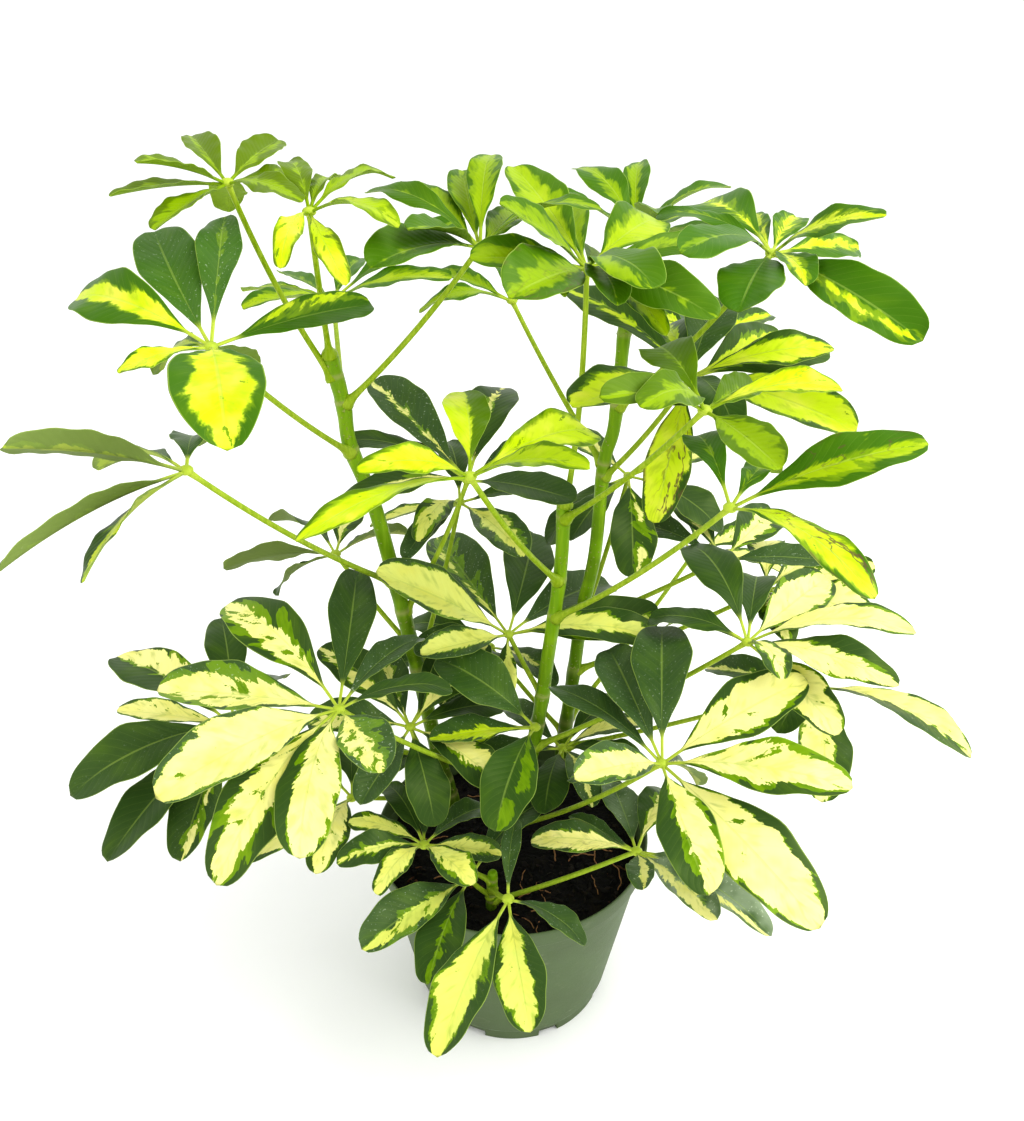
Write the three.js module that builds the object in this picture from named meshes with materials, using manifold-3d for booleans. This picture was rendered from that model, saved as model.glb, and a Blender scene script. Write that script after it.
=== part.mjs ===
// Variegated dwarf umbrella plant in a round nursery pot.
// Millimetres, +Z up. The pot's floor stands on z = 0 with the pot's axis on x = y = 0.
// The side with the most leaves looks towards -Y.
//
// Every piece is a solid of its own: the pot, the potting mix, three tall stems, one short
// shoot at the front and each compound leaf (petiole, knob and all of its leaflets).
// The stems stand in plain holes in the mix. Each petiole ends a small gap off its stem.
// A leaflet that would cross another leaf is bent up, down or sideways until it is clear.

import * as THREE from 'three';
import { mergeVertices } from 'three/addons/utils/BufferGeometryUtils.js';
import Module from 'manifold-3d';

const wasm = await Module();
wasm.setup();

// Gap kept between neighbouring pieces.
const GAP = 0.3;

// Pot: flats around, notches in the foot ring and drain holes in the floor.
const POT_FLATS = 24;
const POT_WALL = [
  [0, 0], [30, 0], [32, 3], [50, 3], [53, 0], [58.6, 0], [59.6, 9.6], [61.4, 10.4],
  [70.6, 60], [79.4, 107.4], [81.6, 108.6], [82.5, 118.6], [81.9, 120], [80.9, 119.4],
  [79.9, 108.2], [69.2, 60], [59.2, 9], [57, 6], [0, 6],
];
const NOTCHES = 8;
const NOTCH_ANGLE = 12;
const NOTCH_HEIGHT = 4.5;
const NOTCH_REACH = [51, 62];
const DRAIN_RADIUS = 4;
const DRAIN_AT = 43;
const DRAIN_SIDES = 6;

// Potting mix: it fills the pot up to about 15 mm under the rim. Its top lies a little uneven.
const SOIL_PROFILE = [
  [0, 6.8], [56.2, 6.8], [67.9, 56], [77.6, 102.4], [52, 104.2], [26, 105.6], [0, 104.6],
];
const SOIL_LEVEL = 100;
const SOIL_BUMP = 1.3;

// Stems: radius at the foot and at the top, then the points that the axis runs through.
const STEM_FLATS = 8;
const STEMS = {
  left: {
    radius: [4.9, 3.8],
    path: [
      [-34, 31, 62], [-37, 32, 105], [-45, 33, 146], [-57, 34, 222], [-68, 36, 285],
      [-76, 37, 326], [-86, 38, 358], [-88, 39, 381], [-93, 40, 409],
    ],
  },
  middle: {
    radius: [4.5, 3.5],
    path: [
      [-3, 10, 62], [0, 10, 105], [5, 10, 130], [16, 10, 201], [20, 10, 239], [26, 10, 297], [27, 10, 341],
    ],
  },
  right: {
    radius: [4.5, 3.4],
    path: [
      [25, 50, 62], [29, 51, 105], [38, 53, 200], [42, 54, 244], [48, 55, 282],
      [51, 57, 338], [56, 58, 363], [59, 60, 419],
    ],
  },
  front: {
    radius: [3.3, 2.8],
    path: [[-12, -46, 80], [-12, -47, 105], [-11, -48, 131]],
  },
};

// Petioles: radius along their length, sides, the knob that the leaflets grow from.
const PETIOLE_SIDES = 4;
const PETIOLE_STEPS = [[0, 3.2], [0.12, 2.1], [0.5, 1.7], [1, 1.6]];
const PETIOLE_FOOT = 0.72;
const PETIOLE_SWELL = 0.06;
const PETIOLE_BOWS = [0, 6, -6, 12, -12, 18, -18, 26, -26];
const KNOB_RADIUS = 4.2;
const KNOB_HALF_HEIGHT = 2.6;
const KNOB_SIDES = 5;

// Leaflets: the stalk's share of the length, the half width of the stalk, thicknesses.
const STALK_SHARE = 0.14;
const STALK_HALF = 0.9;
const STALK_THICK = 1.4;
const STALK_ROOT_HALF = 0.5;
const STALK_ROOT_THICK = 1;
const BLADE_THICK = 0.8;
const TIP_SHARE = 0.36;
// Widest at this share of the blade, and how full the outline is.
const WIDEST_AT = 0.6;
const FULLNESS = 0.75;
// How wide a folded and waved blade spreads, as a share of its listed half width.
const SPREAD = 0.84;
// Shares of the blade at which it is divided; blades that are seen less have fewer.
const BLADE_CUTS = [0.36, 0.72];
const BLADE_CUTS_BEHIND = [0.56];
const BEHIND = 22;
// A new piece is tested this much thicker all round, and against the other leaflets of its own
// leaf only from a point this share of the length past the stalk.
const TEST_SWELL = 0.8;
const PAST_STALK = 0.08;

// Each leaf: its stem, the height at which it leaves the stem, the knob's place, its age from
// 0 (young) to 1 (old), how far its blades face the -Y side, and its leaflets. A leaflet is its
// bearing (0 = +X, 90 = +Y), its rise above the level, its length and its half width.
// Degrees and millimetres.
const LEAVES = {
  leaf_01: ['middle', 114, [76, -70, 232], 1, 12, [
    [130, 0, 84, 13], [105, 10, 86, 18], [85, 20, 88, 20], [12, 30, 84, 19], [331, 15, 96, 18],
    [305, -10, 110, 22], [278, -3, 84, 17], [222, 24, 68, 16], [50, -45, 58, 11], [155, -30, 58, 11]]],
  leaf_02: ['middle', 146, [-87, -60, 259], 1, 12, [
    [90, 15, 96, 16], [140, 20, 88, 19], [190, 15, 88, 23], [226, 5, 102, 22], [240, -20, 102, 20],
    [265, -10, 88, 19], [300, 0, 54, 18], [12, 5, 58, 10], [60, 5, 74, 12]]],
  leaf_03: ['middle', 214, [-2, 34, 240], 0.9, 28, [
    [118, 10, 98, 22], [80, 10, 94, 20], [40, 0, 98, 20], [12, 4, 90, 17], [350, 0, 90, 16],
    [198, 32, 94, 21], [218, 22, 62, 13], [192, -4, 56, 15], [268, -30, 40, 8]]],
  leaf_04: ['middle', 268, [94, -80, 384], 0.5, 16, [
    [95, 0, 76, 11], [60, -5, 58, 10], [352, 25, 84, 15], [302, 0, 82, 11]]],
  leaf_05: ['middle', 292, [-18, -80, 399], 0.3, 22, [
    [95, 15, 60, 13], [40, 0, 74, 16], [325, 20, 62, 11], [214, 20, 54, 9], [224, 2, 88, 9]]],
  leaf_06: ['middle', 330, [81, -70, 425], 0.3, 24, [
    [105, 5, 64, 14], [55, -5, 50, 11], [350, 15, 56, 11], [290, 0, 60, 13], [215, 20, 60, 11],
    [232, 12, 54, 12]]],
  leaf_07: ['left', 275, [-141, -70, 397], 0.8, -55, [
    [232, 27, 86, 14], [142, -15, 72, 13], [240, 0, 98, 15], [254, -2, 80, 10], [100, -12, 60, 13]]],
  leaf_08: ['left', 355, [-131, -40, 442], 0.6, 30, [
    [152, 8, 80, 17], [120, 25, 80, 19], [93, 26, 78, 12], [55, 4, 92, 13], [286, -6, 86, 24],
    [132, -25, 60, 13], [86, -32, 60, 12], [225, 0, 44, 8]]],
  leaf_09: ['middle', 338, [34, 0, 465], 0.4, 34, [
    [238, 4, 66, 21], [280, 2, 56, 13], [292, 0, 66, 15], [305, -15, 58, 9], [312, 2, 76, 14],
    [22, 4, 70, 9], [55, 8, 66, 17], [216, 36, 60, 13], [208, 12, 60, 13], [75, -12, 60, 13],
    [120, 26, 74, 16], [98, 27, 66, 11]]],
  leaf_10: ['right', 372, [122, 20, 466], 0.6, 28, [
    [248, -6, 70, 18], [227, 7, 76, 15], [112, 3, 78, 18], [140, 2, 66, 8], [92, 10, 56, 9],
    [64, 9, 46, 11], [312, 27, 62, 10], [302, -9, 94, 18], [278, 0, 46, 12], [36, -8, 66, 11]]],
  leaf_11: ['left', 396, [-132, 30, 496], 0.1, 8, [
    [232, 20, 50, 9], [218, 2, 56, 8], [121, 16, 50, 11], [70, 12, 50, 12], [50, -11, 54, 10],
    [322, -6, 50, 9], [245, -10, 54, 11], [105, -28, 48, 11]]],
  leaf_12: ['left', 409, [-90, 0, 490], 0.1, 15, [
    [110, 18, 46, 9], [80, 8, 42, 8], [46, 11, 50, 10], [327, 3, 50, 10], [262, -13, 46, 7],
    [294, -20, 54, 7]]],
  leaf_13: ['left', 382, [-15, 20, 469], 0.4, 10, [
    [236, 21, 56, 12], [152, 18, 66, 9], [70, 5, 50, 11], [231, 6, 72, 19], [100, 22, 62, 13],
    [130, 18, 62, 13], [85, 18, 60, 11], [0, 10, 60, 10], [318, 10, 54, 12]]],
  leaf_14: ['right', 331, [90, 30, 400], 0.8, 24, [
    [130, 10, 84, 18], [222, 5, 84, 21], [95, 5, 76, 17], [70, 8, 70, 18], [45, 0, 84, 18],
    [15, 5, 78, 14], [355, 15, 72, 12], [316, 0, 94, 19], [249, -35, 78, 14], [282, -10, 64, 13]]],
  leaf_15: ['middle', 176, [124, -20, 272], 1, 12, [
    [105, 10, 84, 17], [75, 0, 72, 14], [45, 5, 76, 18], [346, 15, 84, 15], [320, 8, 82, 15],
    [305, -10, 68, 15], [280, 10, 48, 11], [122, -20, 68, 11], [148, -15, 58, 12]]],
  leaf_16: ['right', 141, [171, 10, 220], 1, 12, [
    [140, -15, 70, 14], [314, 5, 96, 16], [264, -12, 78, 19], [240, 5, 60, 14], [205, 10, 58, 12]]],
  leaf_17: ['middle', 193, [13, -9, 206], 0.9, 10, [
    [155, 30, 68, 20], [252, -10, 72, 18], [190, 0, 60, 14], [172, -20, 56, 10]]],
  leaf_18: ['front', 126, [-49, -50, 156], 0.8, 10, [
    [120, 10, 48, 10], [90, 10, 46, 10], [170, 15, 44, 9], [205, 10, 50, 12], [236, 8, 46, 9],
    [350, 0, 44, 11], [312, 5, 42, 12], [40, 0, 48, 12]]],
  leaf_19: ['front', 120, [-2, -95, 162], 1, 0, [
    [250, -4, 94, 18], [278, 0, 76, 16], [85, 15, 48, 7], [320, 5, 50, 10]]],
  leaf_20: ['front', 114, [-24, -56, 136], 1, 5, [
    [225, 5, 76, 17], [256, 2, 76, 16], [48, 12, 68, 15]]],
  leaf_21: ['front', 109, [68, -60, 161], 1, 8, [
    [100, 0, 56, 14], [65, 0, 56, 14], [137, 5, 48, 7], [268, 15, 38, 10], [175, 4, 58, 12],
    [344, -5, 62, 11], [316, 2, 86, 14], [298, 3, 72, 13]]],
  leaf_22: ['left', 382, [-105, 140, 406], 0.7, 0, [
    [80, 8, 58, 12], [131, 2, 60, 10], [160, -2, 62, 11], [228, 9, 64, 12], [12, 28, 90, 15],
    [345, 14, 76, 14]]],
  leaf_23: ['right', 338, [0, 120, 411], 0.5, 0, [
    [145, 5, 60, 12], [95, 15, 50, 9], [195, 0, 54, 10], [40, 5, 50, 10]]],
  leaf_24: ['right', 412, [70, 125, 444], 0.6, 5, [
    [120, 25, 70, 14], [85, 28, 68, 10], [275, 30, 58, 12], [15, 28, 60, 12], [310, 14, 70, 12],
    [165, 24, 60, 12], [55, 0, 70, 14]]],
  leaf_25: ['right', 235, [121, 50, 281], 1, 10, [
    [105, 5, 72, 16], [55, 0, 72, 17], [135, -5, 78, 12], [350, 5, 58, 12]]],
  leaf_26: ['left', 255, [-24, 40, 337], 1, 12, [
    [135, 25, 86, 18], [75, 20, 78, 18], [170, 20, 72, 12], [212, 0, 84, 14], [325, 5, 78, 13],
    [45, 0, 68, 13]]],
  leaf_27: ['left', 215, [-31, 85, 300], 0.9, 0, [
    [185, -15, 56, 12], [235, -10, 64, 10], [262, -5, 60, 11], [305, -5, 66, 18], [10, 5, 58, 12],
    [100, 15, 58, 12]]],
  leaf_28: ['left', 150, [-154, -20, 216], 1, 10, [
    [150, 10, 88, 22], [185, 14, 62, 11], [105, 20, 76, 14], [217, 0, 90, 19], [238, -14, 96, 19],
    [260, -18, 82, 17], [75, -10, 66, 13]]],
  leaf_29: ['left', 118, [-94, -10, 154], 1, 8, [
    [260, 10, 64, 14], [227, 5, 80, 16], [50, 0, 52, 10], [100, 0, 58, 12], [140, 10, 54, 14]]],
  leaf_30: ['left', 130, [-58, -5, 203], 1, 10, [
    [40, 30, 66, 16], [62, 38, 60, 15], [105, 10, 60, 14], [150, 30, 70, 15], [20, 0, 56, 12],
    [330, -22, 64, 16], [288, -16, 60, 15], [246, -10, 58, 14], [190, 12, 58, 15]]],
  leaf_31: ['right', 118, [31, 30, 158], 1, 8, [
    [50, 10, 56, 12], [15, 10, 54, 12], [340, 5, 52, 11], [120, 5, 58, 12], [290, 5, 58, 13],
    [250, -5, 60, 15], [205, 0, 60, 15]]],
  leaf_32: ['right', 200, [148, 50, 260], 1, 12, [
    [80, 0, 62, 14], [320, 15, 68, 19], [0, 15, 64, 13], [270, 5, 58, 13], [40, 5, 64, 14]]],
  leaf_33: ['right', 374, [112, 130, 380], 0.8, 5, [
    [40, 5, 64, 14], [90, 0, 66, 14], [135, 5, 62, 13]]],
  leaf_34: ['right', 162, [120, 135, 236], 1, 0, [
    [30, 0, 70, 15], [75, -5, 72, 15], [120, 0, 68, 14], [350, -10, 64, 13]]],
  leaf_35: ['left', 232, [-103, 60, 279], 1, -45, [
    [184, -6, 66, 14], [222, -12, 44, 11], [90, 0, 62, 14], [135, 0, 62, 14], [50, -5, 58, 13]]],
  leaf_36: ['right', 232, [70, 100, 310], 1, 5, [
    [270, -35, 66, 17], [200, -35, 64, 16], [325, -15, 66, 16], [235, -20, 60, 14], [20, 5, 60, 13],
    [130, 5, 60, 14]]],
  leaf_37: ['right', 152, [-14, 84, 196], 1, 8, [
    [205, 5, 66, 16], [245, 0, 66, 16], [275, -5, 64, 15], [160, 5, 58, 13], [310, 5, 62, 15]]],
};

// Bends tried in turn for a leaflet that would cross something: added bearing, added rise.
const BENDS = [
  [0, 0], [0, 5], [0, -5], [5, 0], [-5, 0], [0, 10], [0, -10], [8, 6], [-8, 6], [8, -6], [-8, -6],
  [12, 0], [-12, 0], [0, 16], [0, -16], [12, 12], [-12, 12], [12, -12], [-12, -12], [18, 0], [-18, 0],
  [0, 22], [0, -22], [20, 12], [-20, 12], [20, -12], [-20, -12], [0, 30], [0, -30],
  [28, 0], [-28, 0], [26, 22], [-26, 22], [26, -22], [-26, -22], [0, 40], [0, -40],
];
// Lengths tried when no bend is clear, as shares of the full length.
const SHORTENINGS = [1, 0.82, 0.66];

const RADIANS = Math.PI / 180;
const MERGE_REACH = 1e-3;

const plus = (a, b, k = 1) => [a[0] + b[0] * k, a[1] + b[1] * k, a[2] + b[2] * k];
const length = (a) => Math.hypot(a[0], a[1], a[2]);

function solid(points, triangles) {
  const mesh = new wasm.Mesh({
    numProp: 3,
    vertProperties: new Float32Array(points.flat()),
    triVerts: new Uint32Array(triangles.flat()),
  });
  return new wasm.Manifold(mesh);
}

// Solid of revolution about the z axis from a profile that runs from axis to axis.
function turned(profile, flats, lift = () => 0) {
  const outline = profile.map(([r, z]) => new THREE.Vector2(r, z));
  const lathe = new THREE.LatheGeometry(outline, flats);
  lathe.rotateX(Math.PI / 2);
  lathe.deleteAttribute('normal');
  lathe.deleteAttribute('uv');
  const merged = mergeVertices(lathe, MERGE_REACH);
  const at = merged.getAttribute('position');
  const points = Array.from({ length: at.count }, (_, i) => {
    const [x, y, z] = [at.getX(i), at.getY(i), at.getZ(i)];
    return [x, y, z + lift(x, y, z)];
  });
  const corners = Array.from(merged.index.array);
  const triangles = Array.from({ length: corners.length / 3 }, (_, i) => corners.slice(3 * i, 3 * i + 3));
  return solid(points, triangles.filter(([i, j, k]) => i !== j && j !== k && k !== i));
}

// Tube along a list of centres with a ring of points around each, closed at both ends.
function tube(rings) {
  const sides = rings[0].length;
  const points = rings.flat();
  const triangles = [];
  const last = (rings.length - 1) * sides;
  for (let row = 0; row + 1 < rings.length; row += 1) {
    const a = row * sides;
    const b = a + sides;
    for (let k = 0; k < sides; k += 1) {
      const next = (k + 1) % sides;
      triangles.push([a + k, a + next, b + next], [a + k, b + next, b + k]);
    }
  }
  for (let k = 1; k + 1 < sides; k += 1) {
    triangles.push([0, k + 1, k], [last, last + k, last + k + 1]);
  }
  return solid(points, triangles);
}

// Pot with notches between its feet and drain holes in the floor.
function potSolid() {
  let pot = turned(POT_WALL, POT_FLATS);
  for (let k = 0; k < NOTCHES; k += 1) {
    const turn = ((k + 0.5) / NOTCHES) * 360 + 90;
    const [inner, outer] = NOTCH_REACH;
    const section = [[inner, -1], [outer, -1], [outer, NOTCH_HEIGHT], [inner, NOTCH_HEIGHT]];
    const rings = [-NOTCH_ANGLE / 2, NOTCH_ANGLE / 2].map((side) => {
      const at = (turn + side) * RADIANS;
      return section.map(([r, z]) => [r * Math.cos(at), r * Math.sin(at), z]);
    });
    pot = pot.subtract(tube(rings.reverse()));
    const at = turn * RADIANS;
    const drain = [-1, 8].map((z) => Array.from({ length: DRAIN_SIDES }, (_, i) => {
      const around = (2 * Math.PI * i) / DRAIN_SIDES;
      return [
        DRAIN_AT * Math.cos(at) + DRAIN_RADIUS * Math.cos(around),
        DRAIN_AT * Math.sin(at) + DRAIN_RADIUS * Math.sin(around),
        z,
      ];
    }));
    pot = pot.subtract(tube(drain));
  }
  return pot;
}

// Axis of a stem at a height, straight from point to point of its path.
function stemAxis(path, z) {
  const upper = Math.max(1, path.findIndex((p) => p[2] >= z));
  const a = path[upper - 1];
  const b = path[upper];
  const share = (z - a[2]) / (b[2] - a[2]);
  return plus(a, plus(b, a, -1), share);
}

function stemSolid({ radius, path }, grow) {
  const foot = path[0][2];
  const top = path[path.length - 1][2];
  const rings = path.map((p, row) => {
    const share = (p[2] - foot) / (top - foot);
    const r = radius[0] + (radius[1] - radius[0]) * share + grow;
    const end = row === 0 ? -grow : 0;
    const cap = row === path.length - 1 ? grow : 0;
    return Array.from({ length: STEM_FLATS }, (_, k) => {
      const turn = (2 * Math.PI * (k + 0.5)) / STEM_FLATS;
      return [p[0] + r * Math.cos(turn), p[1] + r * Math.sin(turn), p[2] + end + cap];
    });
  });
  return tube(rings);
}

// Petiole: a thin arm that leaves the stem sideways and turns up to the knob.
function petioleSolid(stem, height, knob, bow, swell = 0) {
  const axis = stemAxis(stem.path, height);
  const out = [knob[0] - axis[0], knob[1] - axis[1], 0];
  const flat = length(out);
  const sideways = [-out[1] / flat, out[0] / flat, 0];
  const start = plus(axis, out, (0.4 * stem.radius[1]) / flat);
  const foot = Math.min(1, (PETIOLE_FOOT * stem.radius[1]) / PETIOLE_STEPS[0][1]);
  const reach = length(plus(knob, start, -1));
  let control = plus(start, plus(knob, start, -1), 0.45);
  control = plus(control, out, (PETIOLE_SWELL * reach) / flat);
  control = plus(control, sideways, bow);
  const rings = PETIOLE_STEPS.map(([t, full]) => {
    const r = full * (foot + (1 - foot) * t);
    const centre = plus(plus(plus([0, 0, 0], start, (1 - t) ** 2), control, 2 * t * (1 - t)), knob, t * t);
    const leaving = plus(control, start, -1);
    const along = plus(leaving, plus(plus(knob, control, -1), leaving, -1), t);
    const d = new THREE.Vector3(...along).normalize();
    const a = new THREE.Vector3(...sideways);
    a.addScaledVector(d, -a.dot(d)).normalize();
    const b = new THREE.Vector3().crossVectors(d, a);
    return Array.from({ length: PETIOLE_SIDES }, (_, k) => {
      const turn = (2 * Math.PI * (k + 0.5)) / PETIOLE_SIDES;
      const p = new THREE.Vector3(...centre);
      p.addScaledVector(a, (r + swell) * Math.cos(turn)).addScaledVector(b, (r + swell) * Math.sin(turn));
      return p.toArray();
    });
  });
  return tube(rings);
}

function knobSolid(knob) {
  const points = [plus(knob, [0, 0, KNOB_HALF_HEIGHT]), plus(knob, [0, 0, -KNOB_HALF_HEIGHT])];
  const triangles = [];
  for (let k = 0; k < KNOB_SIDES; k += 1) {
    const turn = (2 * Math.PI * k) / KNOB_SIDES;
    points.push(plus(knob, [KNOB_RADIUS * Math.cos(turn), KNOB_RADIUS * Math.sin(turn), 0]));
    const here = 2 + k;
    const next = 2 + ((k + 1) % KNOB_SIDES);
    triangles.push([0, here, next], [1, next, here]);
  }
  return solid(points, triangles);
}

// Own small differences of a leaflet, between -1 and 1, from its first bearing and length.
function differs(leaflet, k) {
  return Math.sin(leaflet[0] * 1.7 + leaflet[2] * 0.9 + k * 2.3);
}

// Share of the full half width at a share of the blade: narrow foot, widest beyond the middle.
function outline(share) {
  const power = Math.log(0.5) / Math.log(WIDEST_AT);
  return Math.sin(Math.PI * Math.min(share, 1) ** power) ** FULLNESS;
}

// Rows of points across a leaflet, from its foot on the knob to its tip.
// The midrib follows a straight line from foot to tip, lifted in an arch and swept a little.
// The blade faces up, leaned to the -Y side by the leaf's own angle. The halves on both sides
// of the midrib are folded up, and their margins wave.
function leafletRows(knob, leaflet, { cuts, lean }, bend, share, swell, from) {
  const b = (leaflet[0] + bend[0]) * RADIANS;
  const r = (leaflet[1] + bend[1]) * RADIANS;
  const reach = leaflet[2] * share;
  const half = leaflet[3] * SPREAD * share;
  const d = [Math.cos(r) * Math.cos(b), Math.cos(r) * Math.sin(b), Math.sin(r)];
  const facing = [0, -Math.sin(lean * RADIANS), Math.cos(lean * RADIANS)];
  const tipped = plus(facing, d, -(facing[0] * d[0] + facing[1] * d[1] + facing[2] * d[2]));
  const n = tipped.map((c) => c / length(tipped));
  const s = [n[1] * d[2] - n[2] * d[1], n[2] * d[0] - n[0] * d[2], n[0] * d[1] - n[1] * d[0]];
  const fold = (16 + 9 * differs(leaflet, 1)) * RADIANS;
  const arch = 0.09 + 0.05 * differs(leaflet, 2);
  const roll = 12 * differs(leaflet, 3) * RADIANS;
  const sweep = 0.03 * differs(leaflet, 4);
  const wave = 1.2 + 0.8 * differs(leaflet, 5);
  const across = plus(plus([0, 0, 0], s, Math.cos(roll)), n, Math.sin(roll));
  const above = plus(plus([0, 0, 0], n, Math.cos(roll)), s, -Math.sin(roll));
  const mid = (t) => {
    const hump = 4 * t * (1 - t);
    return plus(plus(plus(knob, d, reach * t), n, reach * arch * hump), s, reach * sweep * hump);
  };
  const row = (t, offsets, thick) => {
    const top = offsets.map(([x, lift]) => plus(plus(mid(t), across, x), above, lift + swell));
    return { top, under: top.map((p) => plus(p, above, -thick - 2 * swell)) };
  };
  const flat = (w) => [[-w, 0], [w, 0]];
  const rows = [];
  if (from === 0) rows.push(row(0, flat(STALK_ROOT_HALF + swell), STALK_ROOT_THICK));
  rows.push(row(STALK_SHARE + from, flat(STALK_HALF + swell), STALK_THICK));
  for (const cut of cuts) {
    const w = half * outline(cut) + swell;
    const ripple = wave * Math.sin(9 * cut + 3 * differs(leaflet, 6));
    const rise = w * Math.sin(fold);
    rows.push(row(STALK_SHARE + (1 - STALK_SHARE) * cut, [
      [-w * Math.cos(fold), rise + ripple], [0, 0], [w * Math.cos(fold), rise - ripple],
    ], BLADE_THICK));
  }
  rows.push(row(1, flat(half * TIP_SHARE + swell), BLADE_THICK));
  return rows;
}

// Closed strip through rows of two or three points, split alike on its two faces.
function strip(rows) {
  const points = [];
  const marks = rows.map(({ top, under }) => ({
    top: top.map((p) => points.push(p) - 1),
    under: under.map((p) => points.push(p) - 1),
  }));
  const triangles = [];
  const split = {
    22: (a, b) => [[a[0], b[0], b[1]], [a[0], b[1], a[1]]],
    23: (a, b) => [[a[0], b[0], b[1]], [a[0], b[1], a[1]], [a[1], b[1], b[2]]],
    33: (a, b) => [[a[0], b[0], b[1]], [a[0], b[1], a[1]], [a[1], b[1], b[2]], [a[1], b[2], a[2]]],
    32: (a, b) => [[a[0], b[0], a[1]], [a[1], b[0], b[1]], [a[1], b[1], a[2]]],
  };
  for (let row = 0; row + 1 < marks.length; row += 1) {
    const a = marks[row];
    const b = marks[row + 1];
    const kind = split[`${a.top.length}${b.top.length}`];
    triangles.push(...kind(a.top, b.top));
    triangles.push(...kind(a.under, b.under).map(([i, j, k]) => [i, k, j]));
    const [ta, ua, tb, ub] = [a.top[0], a.under[0], b.top[0], b.under[0]];
    triangles.push([ta, ua, ub], [ta, ub, tb]);
    const [va, wa, vb, wb] = [a.top.at(-1), a.under.at(-1), b.top.at(-1), b.under.at(-1)];
    triangles.push([va, wb, wa], [va, vb, wb]);
  }
  const foot = marks[0];
  const end = marks.at(-1);
  triangles.push([foot.top[0], foot.top[1], foot.under[1]], [foot.top[0], foot.under[1], foot.under[0]]);
  triangles.push([end.top[0], end.under[1], end.top[1]], [end.top[0], end.under[0], end.under[1]]);
  return solid(points, triangles);
}

const boxesMeet = (a, b) => [0, 1, 2].every((i) => a.min[i] <= b.max[i] && b.min[i] <= a.max[i]);

function meets(body, others) {
  const box = body.boundingBox();
  return others.some((other) => boxesMeet(box, other.box) && body.intersect(other.body).volume() > 0);
}

const stems = Object.fromEntries(Object.entries(STEMS).map(([name, stem]) => [name, stemSolid(stem, 0)]));
const holes = Object.fromEntries(Object.entries(STEMS).map(([name, stem]) => [name, stemSolid(stem, GAP)]));

function soilSolid() {
  const bump = (x, y, z) => (z < SOIL_LEVEL ? 0 : SOIL_BUMP * Math.sin(x * 0.21 + z) * Math.cos(y * 0.17));
  let soil = turned(SOIL_PROFILE, POT_FLATS, bump);
  for (const hole of Object.values(holes)) soil = soil.subtract(hole);
  return soil;
}

const bodies = { pot: potSolid(), soil: soilSolid() };
for (const [name, body] of Object.entries(stems)) bodies[`stem_${name}`] = body;

// What a new leaf has to stay clear of, with the name of the piece that it belongs to.
const placed = [];
const keep = (piece, body, blade = false) => placed.push({ piece, body, blade, box: body.boundingBox() });
for (const [name, body] of Object.entries(bodies)) keep(name, body);

for (const [name, [stemName, height, knob]] of Object.entries(LEAVES)) {
  const stem = STEMS[stemName];
  const others = placed.filter((p) => p.piece !== `stem_${stemName}`);
  const isClear = (b) => !meets(petioleSolid(stem, height, knob, b, TEST_SWELL), others);
  const bow = PETIOLE_BOWS.find(isClear) ?? 0;
  bodies[name] = petioleSolid(stem, height, knob, bow).subtract(holes[stemName]).add(knobSolid(knob));
  keep(name, bodies[name]);
}

// The first bend, at the greatest length, at which a leaflet is clear of all that is placed.
function clearBlade(name, leaflet, look) {
  const knob = LEAVES[name][2];
  const others = placed.filter((p) => p.piece !== name);
  const siblings = placed.filter((p) => p.piece === name && p.blade);
  const isClear = (bend, share) => (
    !meets(strip(leafletRows(knob, leaflet, look, bend, share, TEST_SWELL, 0)), others)
    && !meets(strip(leafletRows(knob, leaflet, look, bend, share, TEST_SWELL, PAST_STALK)), siblings));
  for (const share of SHORTENINGS) {
    const bend = BENDS.find((b) => isClear(b, share));
    if (bend) return strip(leafletRows(knob, leaflet, look, bend, share, 0, 0));
  }
  throw new Error(`${name} has no room for its leaflet at bearing ${leaflet[0]}`);
}

for (const [name, [, , , , lean, leaflets]] of Object.entries(LEAVES)) {
  const look = { lean, cuts: Number(name.slice(5)) < BEHIND ? BLADE_CUTS : BLADE_CUTS_BEHIND };
  for (const leaflet of leaflets) {
    const blade = clearBlade(name, leaflet, look);
    bodies[name] = bodies[name].add(blade);
    keep(name, blade, true);
  }
}

const COLOURS = {
  pot: [0x66774f, 0.6],
  soil: [0x17120e, 0.95],
  stem: [0x7da62c, 0.5],
  young: [0x9dbf1a, 0.42],
  mature: [0x5f9a2a, 0.4],
  old: [0x3f7034, 0.4],
};

function colourOf(name) {
  if (name.startsWith('stem')) return COLOURS.stem;
  if (!name.startsWith('leaf')) return COLOURS[name];
  const age = LEAVES[name][3];
  if (age < 0.35) return COLOURS.young;
  return age < 0.75 ? COLOURS.mature : COLOURS.old;
}

const group = new THREE.Group();
group.name = 'potted_umbrella_plant';
for (const [name, body] of Object.entries(bodies)) {
  const { vertProperties, triVerts } = body.getMesh();
  const geometry = new THREE.BufferGeometry();
  geometry.setAttribute('position', new THREE.BufferAttribute(vertProperties, 3));
  geometry.setIndex(new THREE.BufferAttribute(triVerts, 1));
  const [color, roughness] = colourOf(name);
  const mesh = new THREE.Mesh(geometry, new THREE.MeshStandardMaterial({ color, roughness, metalness: 0 }));
  mesh.name = name;
  group.add(mesh);
}

export default group;
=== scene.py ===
"""Looks of a potted, variegated umbrella plant, built around its packed solids.

Metres, +Z up. The pot's floor stands on z = 0 with its axis on x = y = 0, and the side with the
most leaves looks towards -Y.
"""
import math

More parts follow.
